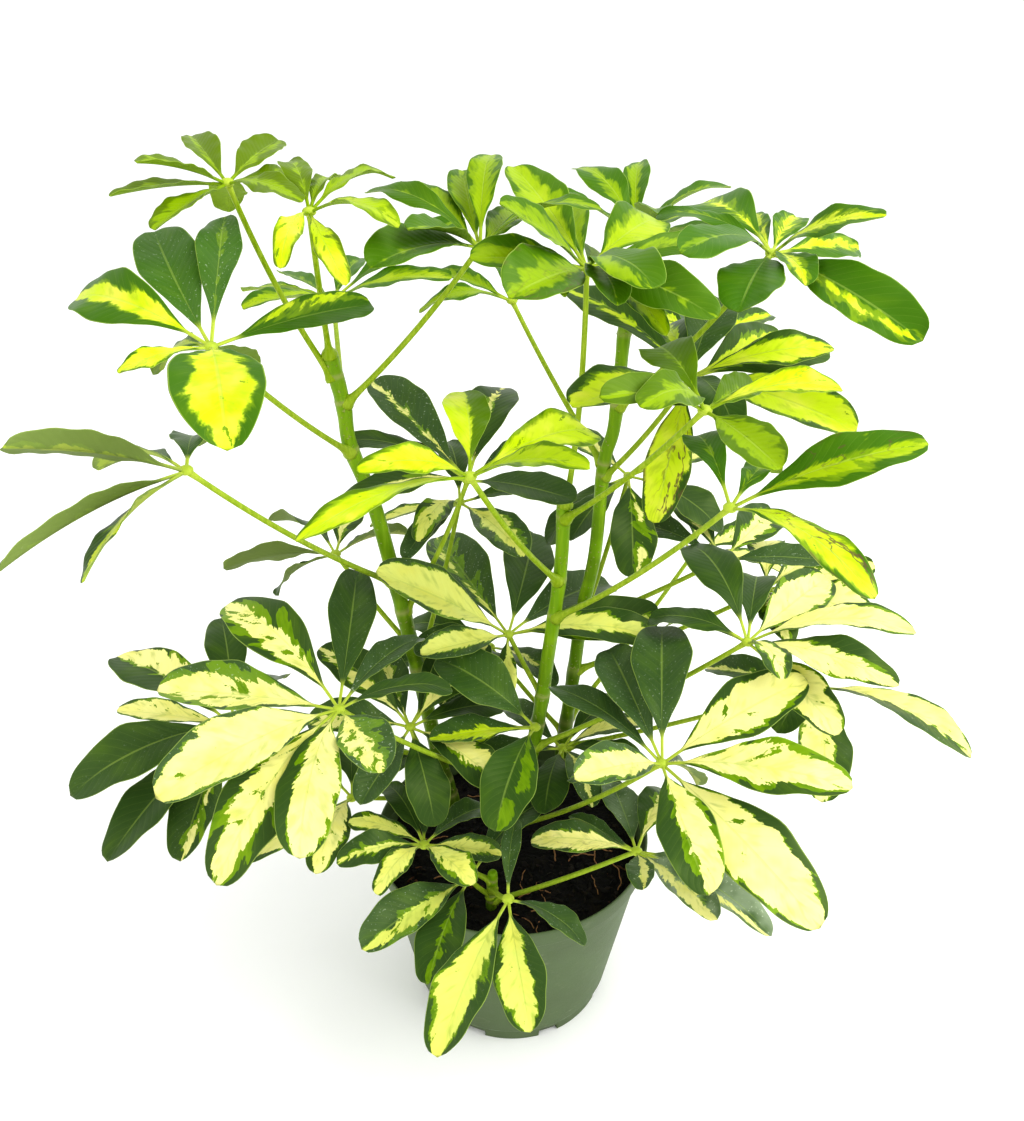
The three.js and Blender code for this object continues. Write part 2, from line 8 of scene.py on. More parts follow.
import bpy
import numpy as np
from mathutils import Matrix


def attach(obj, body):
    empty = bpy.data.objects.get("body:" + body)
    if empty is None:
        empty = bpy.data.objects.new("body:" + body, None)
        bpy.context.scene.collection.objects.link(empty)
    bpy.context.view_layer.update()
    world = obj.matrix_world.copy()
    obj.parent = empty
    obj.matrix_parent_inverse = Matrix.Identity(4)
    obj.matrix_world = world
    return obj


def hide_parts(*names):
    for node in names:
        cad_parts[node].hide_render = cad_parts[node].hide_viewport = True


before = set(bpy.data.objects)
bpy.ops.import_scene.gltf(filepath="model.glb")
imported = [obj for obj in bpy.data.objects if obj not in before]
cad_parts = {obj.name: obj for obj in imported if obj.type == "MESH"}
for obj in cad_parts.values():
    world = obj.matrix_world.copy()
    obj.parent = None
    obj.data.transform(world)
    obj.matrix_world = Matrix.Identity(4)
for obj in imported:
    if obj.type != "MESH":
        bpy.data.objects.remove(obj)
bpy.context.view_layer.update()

bl_info = {
    "name": "Potted umbrella plant",
    "version": (1, 0, 0),
    "blender": (4, 5, 0),
    "location": "3D View > Sidebar > Plant",
    "description": "Builds a potted umbrella plant and the stage that it stands on",
    "category": "Object",
}

MM = 0.001
BODY = "root"

# Pot wall, from the axis under the floor to the axis on the floor: radius and height in mm.
POT_WALL = [
    (0, 0), (30, 0), (32, 3), (50, 3), (53, 0), (58.6, 0), (59.6, 9.6), (61.4, 10.4),
    (70.6, 60), (79.4, 107.4), (81.6, 108.6), (82.5, 118.6), (81.9, 120), (80.9, 119.4),
    (79.9, 108.2), (69.2, 60), (59.2, 9), (57, 6), (0, 6),
]
# Longest edge along the wall that the pot is drawn with, in mm, and the rows past the top of the
# rim over which its colour turns to that of the inside.
POT_STEP = 9
POT_INSIDE = (-0.5, 2.5)
# Notches in the foot ring, which begins between two radii. The sides of a notch rise between two
# shares of its half angle in degrees. A round drain hole lies behind each notch.
NOTCHES = 8
NOTCH_HALF_ANGLE = 6
NOTCH_SIDES = (0.97, 1.03)
NOTCH_HEIGHT = 4.5
FOOT_RING = (50.5, 52)
DRAIN_RADIUS = 4
DRAIN_AT = 43
DRAIN_SIDES = 24
DRAIN_HEIGHTS = (-1, 8)

# Potting mix: radii and heights of its top, then of its foot and side, in mm.
SOIL_RADII = [0, 26, 52, 77.6]
SOIL_HEIGHTS = [104.6, 105.6, 104.2, 102.4]
SOIL_SIDE = [(56.2, 6.8), (67.9, 56)]
# Its innermost ring, as a share of its radius.
SOIL_INNERMOST = 0.02
# Crumbs on it: how wide and how high those of each size are, and how far it is lowered for them.
CRUMBS = [(17, 2.0), (6.5, 1.6), (2.9, 1.3), (1.4, 0.7)]
CRUMBS_SINK = 0.3
# Chips: corners round and rows of a chip, its half length, width and height, each between two
# values in mm, how deep its dents are as a share of its size, its slope along its length, how far
# its middle lies above the mix as a share of its half height, how far out chips lie as a share of
# the mix's radius, and how far they stay from a stem.
CHIP_CORNERS, CHIP_ROWS = 7, 4
CHIP_SIZES = [(0.8, 3.6), (0.6, 1.7), (0.4, 1.0)]
CHIP_DENTS, CHIP_SLOPE, CHIP_RISE = 0.25, 0.2, 0.3
CHIP_REACH, CHIP_ROOM = 0.97, 9
# Roots: points along and round a root, its radius and the length of a step along it in mm, its
# bend in a step in radians, how far and how fast it winds, how far its middle lies above the mix
# as a share of its radius, and how far out and how far from a stem roots begin and stay.
ROOT_POINTS, ROOT_CORNERS = 16, 6
ROOT_RADIUS = (0.3, 0.55)
ROOT_STEP = (0.7, 1.6)
ROOT_BEND = (-0.09, 0.09)
ROOT_WINDING, ROOT_PITCH, ROOT_RISE = 0.25, 0.9, 0.7
ROOT_REACH, ROOT_ROOM = 0.85, 8

# Stems: radius at the foot and at the top, then the points that the axis runs through, in mm.
STEMS = {
    "left": ((4.9, 3.8), [
        (-34, 31, 62), (-37, 32, 105), (-45, 33, 146), (-57, 34, 222), (-68, 36, 285),
        (-76, 37, 326), (-86, 38, 358), (-88, 39, 381), (-93, 40, 409)]),
    "middle": ((4.5, 3.5), [
        (-3, 10, 62), (0, 10, 105), (5, 10, 130), (16, 10, 201), (20, 10, 239), (26, 10, 297),
        (27, 10, 341)]),
    "right": ((4.5, 3.4), [
        (25, 50, 62), (29, 51, 105), (38, 53, 200), (42, 54, 244), (48, 55, 282), (51, 57, 338),
        (56, 58, 363), (59, 60, 419)]),
    "front": ((3.3, 2.8), [(-12, -46, 80), (-12, -47, 105), (-11, -48, 131)]),
}
CUT_STEM = "middle"
# A stem's joints: how much thicker it is there, how far below the leaf and over what length. The
# scar's ridge: the same, but above the leaf, and over what length it is tan. Thickness is a share
# of the radius and lengths are in mm. Old scars begin above the foot and are unevenly spaced.
JOINT_SWELL, JOINT_BELOW, JOINT_LENGTH = 0.09, 2, 5
SCAR_RIDGE, SCAR_ABOVE, SCAR_LENGTH, TAN_LENGTH = 0.07, 1.5, 0.9, 1.2
FIRST_SCAR, UNEVEN_SCARS = 9, 3
DOME_ROWS = 5

# Sideways bows in mm, tried in turn for a petiole that would touch another.
PETIOLE_BOWS = [0, 6, -6, 12, -12, 18, -18, 26, -26]
# A petiole's curve starts at a share of the stem's radius from its axis. Its control point lies
# at a share of the way, pushed outwards by a share of the reach.
PETIOLE_START = 0.4
PETIOLE_BEND = 0.45
PETIOLE_SWELL = 0.06
# Its flares at the stem, as shares of the stem's radius and of the length, then its swollen end.
PETIOLE_FLARES = [(0.55, 0.035), (0.1925, 0.09)]
PETIOLE_END, PETIOLE_END_LENGTH = 0.45, 0.02
PETIOLE_TAPER = 0.22
# The solid petiole's radius at its foot and halfway along in mm, and the largest share of the
# stem's radius that the foot takes.
PETIOLE_FOOT_RADIUS = 3.2
PETIOLE_HALFWAY_RADIUS = 1.7
PETIOLE_FOOT = 0.72

# Leaflets: the stalk's share of the length, the blunt tip's share of the solid's half width, where
# a blade is widest, and the power of its outline's sine, which falls near the tip by so much. The
# stalk widens into the blade over the blade's first part.
STALK_SHARE = 0.14
TIP_SHARE = 0.36
WIDEST_AT = 0.6
FULLNESS, TIP_FULLNESS = 0.75, 0.32
TIP_PART = (0.6, 0.95)
WIDENING = 0.14
# How wide a folded and waved blade spreads, as a share of its listed half width.
SPREAD = 0.84
# What differs from leaflet to leaflet, as a middle value and the most that is added or taken:
# roll and fold in degrees, arch and sweep as shares of the length, ripple and curl in mm, and how
# much wider one half is than the other. A small wave along the margin also varies the width.
ROLL = (0, 12)
FOLD = (16, 9)
ARCH = (0.09, 0.05)
SWEEP = (0, 0.03)
RIPPLE = (1.2, 0.8)
CURL = (1.2, 1.6)
LOPSIDED = (0, 0.06)
UNEVEN_MARGIN = 0.025
# The ripple's wave, the fine one and the margin's: through how many radians each runs along a
# blade, and the most that its start differs. Then the parts of a blade over which two of them and
# the tip's curl grow from nothing.
RIPPLE_WAVE, FINE_WAVE, MARGIN_WAVE = (9, 3), (31, 4), (19, 5)
RIPPLE_PART, FINE_PART, CURL_PART = (0.05, 0.3), (0.1, 0.3), (0.72, 1.05)
# Section of a blade: the power that rounds its edges, how much lower the midrib is at the tip, and
# the share of its height that it has on the upper side.
EDGE_POWER = 0.7
RIB_FALL, RIB_ABOVE = 0.8, 0.25
# Side veins along a blade, and how far they run forward to its margin, as a share of its length.
SIDE_VEINS = 15
VEIN_SLANT = 0.2

# Each leaf: its stem, the height at which it leaves the stem, the knob's place, its age from
# 0 (young) to 1 (old), by how many degrees its blades face the -Y side, and its leaflets. One is
# its bearing (0 = +X, 90 = +Y), rise, length and half width in degrees and mm, and its paint: the
# yellow's share of the half width, how far it lies to the left as seen from the knob, and how
# wide the lime band beside it is. What is left out of the paint is 0.
LEAVES = {
    "leaf_01": ("middle", 114, (76, -70, 232), 1, 12, [
        (130, 0, 84, 13), (105, 10, 86, 18), (85, 20, 88, 20), (12, 30, 84, 19, .74, .05, .2),
        (331, 15, 96, 18, .72, .1, .4), (305, -10, 110, 22, .82, -.03, .15),
        (278, -3, 84, 17, .5, .42, .35), (222, 24, 68, 16, .66, .05, .2),
        (50, -45, 58, 11, .3, 0, .2), (155, -30, 58, 11, 0, 0, .2)]),
    "leaf_02": ("middle", 146, (-87, -60, 259), 1, 12, [
        (90, 15, 96, 16), (140, 20, 88, 19, .36, .28, .5), (190, 15, 88, 23, .62, .08, .5),
        (226, 5, 102, 22, .9, 0, .1), (240, -20, 102, 20, .56, -.05, .45),
        (265, -10, 88, 19, .66, .2, .2), (300, 0, 54, 18, .5, -.3, .6), (12, 5, 58, 10),
        (60, 5, 74, 12)]),
    "leaf_03": ("middle", 214, (-2, 34, 240), .9, 28, [
        (118, 10, 98, 22, .05, .25, .5), (80, 10, 94, 20), (40, 0, 98, 20),
        (12, 4, 90, 17, .12, -.3, .6), (350, 0, 90, 16, .5, .1, .2), (198, 32, 94, 21, .84, 0, .15),
        (218, 22, 62, 13, .66, -.2, .2), (192, -4, 56, 15), (268, -30, 40, 8, .5, .45, .1)]),
    "leaf_04": ("middle", 268, (94, -80, 384), .5, 16, [
        (95, 0, 76, 11, 0, 0, .1), (60, -5, 58, 10, 0, 0, .4), (352, 25, 84, 15, .26, -.1, .42),
        (302, 0, 82, 11, .72, 0, .3)]),
    "leaf_05": ("middle", 292, (-18, -80, 399), .3, 22, [
        (95, 15, 60, 13, .72, .6, .1), (40, 0, 74, 16, .74, 0, .35), (325, 20, 62, 11, .6, .1, .4),
        (214, 20, 54, 9, .76, .05, .3), (224, 2, 88, 9, .72, .1, .3)]),
    "leaf_06": ("middle", 330, (81, -70, 425), .3, 24, [
        (105, 5, 64, 14, 0, 0, .1), (55, -5, 50, 11, 0, 0, .15), (350, 15, 56, 11, .84, 0, .3),
        (290, 0, 60, 13, .45, 0, .5), (215, 20, 60, 11, .1, 0, .3), (232, 12, 54, 12, .25, .1, .45)]),
    "leaf_07": ("left", 275, (-141, -70, 397), .8, -55, [
        (232, 27, 86, 14, .1, 0, .3), (142, -15, 72, 13, .4, .2, .3), (240, 0, 98, 15, .1, -.3, .5),
        (254, -2, 80, 10, .5, .3, .3), (100, -12, 60, 13)]),
    "leaf_08": ("left", 355, (-131, -40, 442), .6, 30, [
        (152, 8, 80, 17, .46, -.12, .2), (120, 25, 80, 19), (93, 26, 78, 12, 0, 0, .05),
        (55, 4, 92, 13, .1, .7, .4), (286, -6, 86, 24, .62, .02, .16),
        (132, -25, 60, 13, .3, 0, .2), (86, -32, 60, 12), (225, 0, 44, 8, .8, 0, .2)]),
    "leaf_09": ("middle", 338, (34, 0, 465), .4, 34, [
        (238, 4, 66, 21, .3, 0, .35), (280, 2, 56, 13, 0, 0, .1), (292, 0, 66, 15, .06, -.6, .4),
        (305, -15, 58, 9, .6, 0, .4), (312, 2, 76, 14, 0, 0, .15), (22, 4, 70, 9, .2, .3, .4),
        (55, 8, 66, 17, .6, -.12, .3), (216, 36, 60, 13, .35, 0, .6), (208, 12, 60, 13, .5, 0, .4),
        (75, -12, 60, 13, .3, 0, .4), (120, 26, 74, 16, .56, .15, .4),
        (98, 27, 66, 11, .3, -.2, .4)]),
    "leaf_10": ("right", 372, (122, 20, 466), .57, 28, [
        (248, -6, 70, 18), (227, 7, 76, 15, 0, 0, .05), (112, 3, 78, 18, .06, .1, .4),
        (140, 2, 66, 8, 0, 0, .1), (92, 10, 56, 9, .3, -.3, .3), (64, 9, 46, 11, .3, 0, .5),
        (312, 27, 62, 10, .3, 0, .4), (302, -9, 94, 18, .05, -.35, .5),
        (278, 0, 46, 12, .3, -.1, .4), (36, -8, 66, 11, .3, .2, .4)]),
    "leaf_11": ("left", 396, (-132, 30, 496), .1, 8, [
        (232, 20, 50, 9, .2, 0, .3), (218, 2, 56, 8, .3, .2, .3), (121, 16, 50, 11, 0, .2, .3),
        (70, 12, 50, 12, 0, -.2, .3), (50, -11, 54, 10, 0, 0, .4), (322, -6, 50, 9, .2, 0, .3),
        (245, -10, 54, 11, .4, 0, .3), (105, -28, 48, 11, 0, 0, .3)]),
    "leaf_12": ("left", 409, (-90, 0, 490), .1, 15, [
        (110, 18, 46, 9, 0, 0, .2), (80, 8, 42, 8, .3, 0, .3), (46, 11, 50, 10, .5, -.1, .6),
        (327, 3, 50, 10, .6, 0, .6), (262, -13, 46, 7, .8, 0, .3), (294, -20, 54, 7, .78, 0, .3)]),
    "leaf_13": ("left", 382, (-15, 20, 469), .4, 10, [
        (236, 21, 56, 12, 0, 0, .1), (152, 18, 66, 9, 0, 0, .05), (70, 5, 50, 11, .5, 0, .4),
        (231, 6, 72, 19, 0, 0, .08), (100, 22, 62, 13, .3, .2, .4), (130, 18, 62, 13, .5, 0, .4),
        (85, 18, 60, 11, .5, 0, .4), (0, 10, 60, 10, .3, 0, .4), (318, 10, 54, 12, .4, 0, .4)]),
    "leaf_14": ("right", 331, (90, 30, 400), .8, 24, [
        (130, 10, 84, 18, .1, .2, .2), (222, 5, 84, 21, .74, .05, .2), (95, 5, 76, 17, .3, .1, .3),
        (70, 8, 70, 18), (45, 0, 84, 18, .6, -.2, .25), (15, 5, 78, 14, .3, .2, .4),
        (355, 15, 72, 12, .72, 0, .2), (316, 0, 94, 19, .84, 0, .2),
        (249, -35, 78, 14, .86, -.1, .1), (282, -10, 64, 13)]),
    "leaf_15": ("middle", 176, (124, -20, 272), 1, 12, [
        (105, 10, 84, 17), (75, 0, 72, 14), (45, 5, 76, 18, .8, 0, .25),
        (346, 15, 84, 15, .86, 0, .15), (320, 8, 82, 15, .6, -.3, .2),
        (305, -10, 68, 15, .8, 0, .15), (280, 10, 48, 11, .5, 0, .3), (122, -20, 68, 11),
        (148, -15, 58, 12)]),
    "leaf_16": ("right", 141, (171, 10, 220), 1, 12, [
        (140, -15, 70, 14, .1, 0, .2), (314, 5, 96, 16, .5, .4, .15),
        (264, -12, 78, 19, .62, -.2, .2), (240, 5, 60, 14), (205, 10, 58, 12, .3, 0, .2)]),
    "leaf_17": ("middle", 193, (13, -9, 206), .8, 10, [
        (155, 30, 68, 20), (252, -10, 72, 18, 0, .4, .35), (190, 0, 60, 14, .5, .3, .1),
        (172, -20, 56, 10, .9, 0, .1)]),
    "leaf_18": ("front", 126, (-49, -50, 156), .9, 10, [
        (120, 10, 48, 10), (90, 10, 46, 10), (170, 15, 44, 9, .62, 0, .2),
        (205, 10, 50, 12, .14, 0, .4), (236, 8, 46, 9, .7, 0, .15), (350, 0, 44, 11, .42, .1, .3),
        (312, 5, 42, 12, .6, .1, .3), (40, 0, 48, 12)]),
    "leaf_19": ("front", 120, (-2, -95, 162), .88, 0, [
        (250, -4, 94, 18, .62, -.1, .16), (278, 0, 76, 16, .6, -.14, .16), (85, 15, 48, 7),
        (320, 5, 50, 10)]),
    "leaf_20": ("front", 114, (-24, -56, 136), .88, 5, [
        (225, 5, 76, 17, .34, .3, .4), (256, 2, 76, 16, 0, 0, .3), (48, 12, 68, 15)]),
    "leaf_21": ("front", 109, (68, -60, 161), 1, 8, [
        (100, 0, 56, 14), (65, 0, 56, 14, .4, -.3, .3), (137, 5, 48, 7),
        (268, 15, 38, 10, .3, .3, .1), (175, 4, 58, 12, .6, .2, .15), (344, -5, 62, 11),
        (316, 2, 86, 14, .3, -.6, .1), (298, 3, 72, 13, .4, -.36, .15)]),
    "leaf_22": ("left", 382, (-105, 140, 406), .5, 0, [
        (80, 8, 58, 12, 0, 0, .1), (131, 2, 60, 10, 0, 0, .1), (160, -2, 62, 11, .5, 0, .3),
        (228, 9, 64, 12, .6, 0, .3), (12, 28, 90, 15, 0, 0, .1), (345, 14, 76, 14, .35, 0, .4)]),
    "leaf_23": ("right", 338, (0, 120, 411), .45, 0, [
        (145, 5, 60, 12, .4, 0, .4), (95, 15, 50, 9, .3, 0, .4), (195, 0, 54, 10, .5, 0, .3),
        (40, 5, 50, 10, .6, 0, .4)]),
    "leaf_24": ("right", 412, (70, 125, 444), .45, 5, [
        (120, 25, 70, 14, .2, 0, .3), (85, 28, 68, 10, .3, .1, .3), (275, 30, 58, 12, 0, 0, .1),
        (15, 28, 60, 12, .1, 0, .3), (310, 14, 70, 12, .2, 0, .2), (165, 24, 60, 12, .15, .2, .3),
        (55, 0, 70, 14, .1, 0, .2)]),
    "leaf_25": ("right", 235, (121, 50, 281), 1, 10, [
        (105, 5, 72, 16, .36, .1, .3), (55, 0, 72, 17, .4, -.1, .3), (135, -5, 78, 12),
        (350, 5, 58, 12)]),
    "leaf_26": ("left", 255, (-24, 40, 337), 1, 12, [
        (135, 25, 86, 18, .1, .1, .15), (75, 20, 78, 18, .03, .1, .1), (170, 20, 72, 12),
        (212, 0, 84, 14, .3, .3, .3), (325, 5, 78, 13), (45, 0, 68, 13, .2, 0, .3)]),
    "leaf_27": ("left", 215, (-31, 85, 300), .9, 0, [
        (185, -15, 56, 12, .6, 0, .3), (235, -10, 64, 10), (262, -5, 60, 11, .5, 0, .4),
        (305, -5, 66, 18, .42, .1, .3), (10, 5, 58, 12), (100, 15, 58, 12)]),
    "leaf_28": ("left", 150, (-154, -20, 216), 1, 10, [
        (150, 10, 88, 22, .36, -.4, .25), (185, 14, 62, 11, .8, 0, .15), (105, 20, 76, 14),
        (217, 0, 90, 19), (238, -14, 96, 19), (260, -18, 82, 17, .12, .3, .4), (75, -10, 66, 13)]),
    "leaf_29": ("left", 118, (-94, -10, 154), 1, 8, [
        (260, 10, 64, 14, .6, .1, .2), (227, 5, 80, 16, .85, 0, .15), (50, 0, 52, 10),
        (100, 0, 58, 12), (140, 10, 54, 14)]),
    "leaf_30": ("left", 130, (-58, -5, 203), 1, 10, [
        (40, 30, 66, 16, .5, .1, .2), (62, 38, 60, 15), (105, 10, 60, 14, .1, 0, .3),
        (150, 30, 70, 15, .2, .3, .2), (20, 0, 56, 12), (330, -22, 64, 16, .5, .3, .2),
        (288, -16, 60, 15), (246, -10, 58, 14), (190, 12, 58, 15, .3, .2, .3)]),
    "leaf_31": ("right", 118, (31, 30, 158), 1, 8, [
        (50, 10, 56, 12), (15, 10, 54, 12, .5, .1, .2), (340, 5, 52, 11), (120, 5, 58, 12),
        (290, 5, 58, 13, .2, 0, .2), (250, -5, 60, 15), (205, 0, 60, 15)]),
    "leaf_32": ("right", 200, (148, 50, 260), 1, 12, [
        (80, 0, 62, 14, .7, 0, .2), (320, 15, 68, 19, .82, 0, .15), (0, 15, 64, 13, .6, 0, .2),
        (270, 5, 58, 13, .3, 0, .3), (40, 5, 64, 14, .4, 0, .2)]),
    "leaf_33": ("right", 374, (112, 130, 380), .8, 5, [
        (40, 5, 64, 14, .3, 0, .3), (90, 0, 66, 14), (135, 5, 62, 13, .5, .1, .3)]),
    "leaf_34": ("right", 162, (120, 135, 236), 1, 0, [
        (30, 0, 70, 15, .5, 0, .2), (75, -5, 72, 15, .2, .2, .3), (120, 0, 68, 14),
        (350, -10, 64, 13, .7, 0, .2)]),
    "leaf_35": ("left", 232, (-103, 60, 279), 1, -45, [
        (184, -6, 66, 14), (222, -12, 44, 11), (90, 0, 62, 14, .4, .1, .3), (135, 0, 62, 14),
        (50, -5, 58, 13, .2, 0, .3)]),
    "leaf_36": ("right", 232, (70, 100, 310), 1, 5, [
        (270, -35, 66, 17, .1, .4, .5), (200, -35, 64, 16), (325, -15, 66, 16), (235, -20, 60, 14),
        (20, 5, 60, 13, .4, 0, .3), (130, 5, 60, 14, .5, .1, .3)]),
    "leaf_37": ("right", 152, (-14, 84, 196), 1, 8, [
        (205, 5, 66, 16), (245, 0, 66, 16, .1, .1, .2), (275, -5, 64, 15), (160, 5, 58, 13),
        (310, 5, 62, 15, .1, 0, .2)]),
}

# Flaws of single leaflets, by leaf and first bearing: brown cracks, then dried dust, 0 to 1.
FLAWS = {
    "leaf_01": {105: (0, .25), 85: (0, .3), 130: (0, .3)},
    "leaf_04": {302: (1, 0), 352: (.6, 0)},
    "leaf_06": {350: (.4, 0)},
    "leaf_08": {120: (0, .3), 93: (0, .4)},
    "leaf_09": {238: (.5, 0)},
    "leaf_12": {294: (.3, 0)},
    "leaf_14": {249: (1, 0), 45: (.1, 0), 15: (.6, 0)},
    "leaf_21": {298: (.2, 1), 316: (0, 1), 344: (0, .8), 100: (0, .7), 175: (.3, .2), 268: (0, .6)},
}

# Bends tried in turn for a leaflet that would cross something: added bearing, added rise.
BENDS = [
    (0, 0), (0, 5), (0, -5), (5, 0), (-5, 0), (0, 10), (0, -10), (8, 6), (-8, 6), (8, -6), (-8, -6),
    (12, 0), (-12, 0), (0, 16), (0, -16), (12, 12), (-12, 12), (12, -12), (-12, -12), (18, 0),
    (-18, 0), (0, 22), (0, -22), (20, 12), (-20, 12), (20, -12), (-20, -12), (0, 30), (0, -30),
    (28, 0), (-28, 0), (26, 22), (-26, 22), (26, -22), (-26, -22), (0, 40), (0, -40),
]
# Shares of its length that such a leaflet is shortened to, also in turn.
SHORTENINGS = [1, 0.82, 0.66]
# How far a leaflet's corners may lie from those of the packed solid that it stands for.
MATCH = 0.3 * MM

# Tint of the shine on all that is green.
GREEN_GLINT = (0.8, 0.95, 0.4, 1.0)
# Lights: place and side of each in metres. All are turned towards one point.
LIGHTS = {"key": ((0.9, -0.35, 1.35), 1.1), "fill": ((-0.9, -1.1, 0.9), 1.2)}
LIT_POINT = (0, 0.02, 0.2)
FRAME_WIDTH_MM = 36


# Shapes

def unit(v):
    """v at length one."""
    return v / np.linalg.norm(v, axis=-1, keepdims=True)


def bell(x, width):
    """A smooth hump of height 1 at x = 0: e to the minus (x / width) squared."""
    return np.exp(-(x / width) ** 2)


def ease(low, high, x):
    """0 below low, 1 above high, and a smooth cubic step between them."""
    t = np.clip((x - low) / (high - low), 0, 1)
    return t * t * (3 - 2 * t)


def turns(count):
    """The angles of count even steps round a full turn."""
    return 2 * np.pi * np.arange(count) / count


def rows_of_ball(count):
    """The angles above the middle of count even rows over a ball, without its poles."""
    return np.linspace(-np.pi / 2, np.pi / 2, count + 2)[1:-1]


def spline(points, count):
    """Smooth path through all the points: a Catmull-Rom cubic on each stretch, evenly sampled."""
    p = np.array(points, float)
    p = np.vstack([2 * p[0] - p[1], p, 2 * p[-1] - p[-2]])
    t = np.linspace(0, len(points) - 1, count)
    i = np.minimum(t.astype(int), len(points) - 2)
    f = (t - i)[:, None]
    a, b, c, d = p[i], p[i + 1], p[i + 2], p[i + 3]
    square, cube = 2 * a - 5 * b + 4 * c - d, 3 * b - a - 3 * c + d
    return 0.5 * (2 * b + (c - a) * f + square * f**2 + cube * f**3)


def quadratic(start, control, end, t):
    """Quadratic curve from start to end, pulled towards control, at shares t of the way."""
    return start * (1 - t) ** 2 + control * 2 * t * (1 - t) + end * t**2


def lattice(x, y, salt):
    """Value noise from 0 to 1: random heights on a grid of whole numbers, smoothly filled in.
    A height is what stands behind the decimal point in a large multiple of a sine."""
    def height(i, j):
        return np.mod(np.sin(i * 127.1 + j * 311.7 + salt * 74.7) * 43758.5453, 1.0)
    i, j = np.floor(x), np.floor(y)
    u, v = ease(0, 1, x - i), ease(0, 1, y - j)
    low = height(i, j) * (1 - u) + height(i + 1, j) * u
    high = height(i, j + 1) * (1 - u) + height(i + 1, j + 1) * u
    return low * (1 - v) + high * v


def closed_tube(rings, first=None, last=None):
    """Tube through rings of points, (rows, columns, 3), closed by a point at each end.

    Each ring runs anticlockwise as seen from the far end. The poles are the end rings' middles
    unless they are given. Returns points, four-sided faces and three-sided faces.
    """
    rows, columns = rings.shape[:2]
    first = rings[0].mean(0) if first is None else first
    last = rings[-1].mean(0) if last is None else last
    points = np.vstack([rings.reshape(-1, 3), first, last])
    j = np.arange(columns)
    k = (j + 1) % columns
    row = (np.arange(rows - 1) * columns)[:, None]
    quads = np.stack([row + j, row + k, row + columns + k, row + columns + j], -1)
    end = (rows - 1) * columns
    foot = np.stack([np.full(columns, rows * columns), k, j], -1)
    tip = np.stack([np.full(columns, rows * columns + 1), end + j, end + k], -1)
    return points, quads.reshape(-1, 4), np.vstack([foot, tip])


def rings_along(path, radii, right, columns):
    """Circles of the given radii along a path, each square to the path; right gives column 0."""
    d = unit(np.gradient(path, axis=0))
    a = unit(right - (d @ right)[:, None] * d)
    b = np.cross(d, a)
    turn = turns(columns)[None, :, None]
    spokes = a[:, None] * np.cos(turn) + b[:, None] * np.sin(turn)
    return path[:, None] + spokes * radii[:, None, None]


def by_row(values, columns, first, last):
    """A mark for each point of a tube, from those of its rows and of its two poles."""
    return np.append(np.repeat(values, columns), [first, last])


def shape(tube, finish=0, **marks):
    """A tube with the number of its finish and the marks that its points carry for that finish,
    each of which is three numbers or arrays."""
    def per_point(values):
        return np.stack([np.broadcast_to(np.asarray(x, float), len(tube[0])) for x in values], -1)
    return *tube, finish, {name: per_point(values) for name, values in marks.items()}


def placed(name, data):
    """A new object in the scene that shows a mesh, light or camera."""
    made = bpy.data.objects.new(name, data)
    bpy.context.scene.collection.objects.link(made)
    return made


def add_piece(name, shapes, finishes, nodes):
    """One object from what shape() returned, in place of the packed nodes if there are any."""
    points, faces, finish, kept = [], [], [], {}
    start = 0
    names = sorted({k for s in shapes for k in s[4]})
    for pts, quads, triangles, number, noted in shapes:
        points.append(pts)
        faces += (quads + start).tolist() + (triangles + start).tolist()
        finish += [number] * (len(quads) + len(triangles))
        for k in names:
            kept.setdefault(k, []).append(noted.get(k, np.zeros((len(pts), 3))))
        start += len(pts)
    mesh = bpy.data.meshes.new(name)
    mesh.from_pydata(np.vstack(points).tolist(), [], faces)
    for k in names:
        layer = mesh.attributes.new(k, "FLOAT_VECTOR", "POINT")
        layer.data.foreach_set("vector", np.vstack(kept[k]).astype(np.float32).ravel())
    for f in finishes:
        mesh.materials.append(f)
    mesh.polygons.foreach_set("material_index", np.array(finish, np.int32))
    mesh.polygons.foreach_set("use_smooth", np.ones(len(faces), bool))
    mesh.update()
    obj = placed(name, mesh)
    if nodes:
        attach(obj, BODY)
        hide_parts(*nodes)
    return obj


def corners_of(node):
    """The packed solid's corners as an array."""
    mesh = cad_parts[node].data
    co = np.zeros(len(mesh.vertices) * 3, np.float32)
    mesh.vertices.foreach_get("co", co)
    return co.reshape(-1, 3).astype(float)


def nearest(corners, points):
    """The largest distance from any of the points to its nearest corner."""
    return np.sqrt(((corners[None] - points[:, None]) ** 2).sum(-1)).min(1).max()


# Leaves

def own(leaflet, k, middle=0, most=1):
    """A leaflet's own value, at most so far from the middle, by the sine of its first bearing,
    its length and k."""
    return middle + most * math.sin(leaflet[0] * 1.7 + leaflet[2] * 0.9 + k * 2.3)


def outline(share):
    """Share of the full half width: a sine hump, pushed towards the tip, fuller and round there."""
    power = math.log(0.5) / math.log(WIDEST_AT)
    full = FULLNESS - TIP_FULLNESS * ease(*TIP_PART, share)
    return np.sin(np.pi * np.clip(share, 0, 1) ** power) ** full


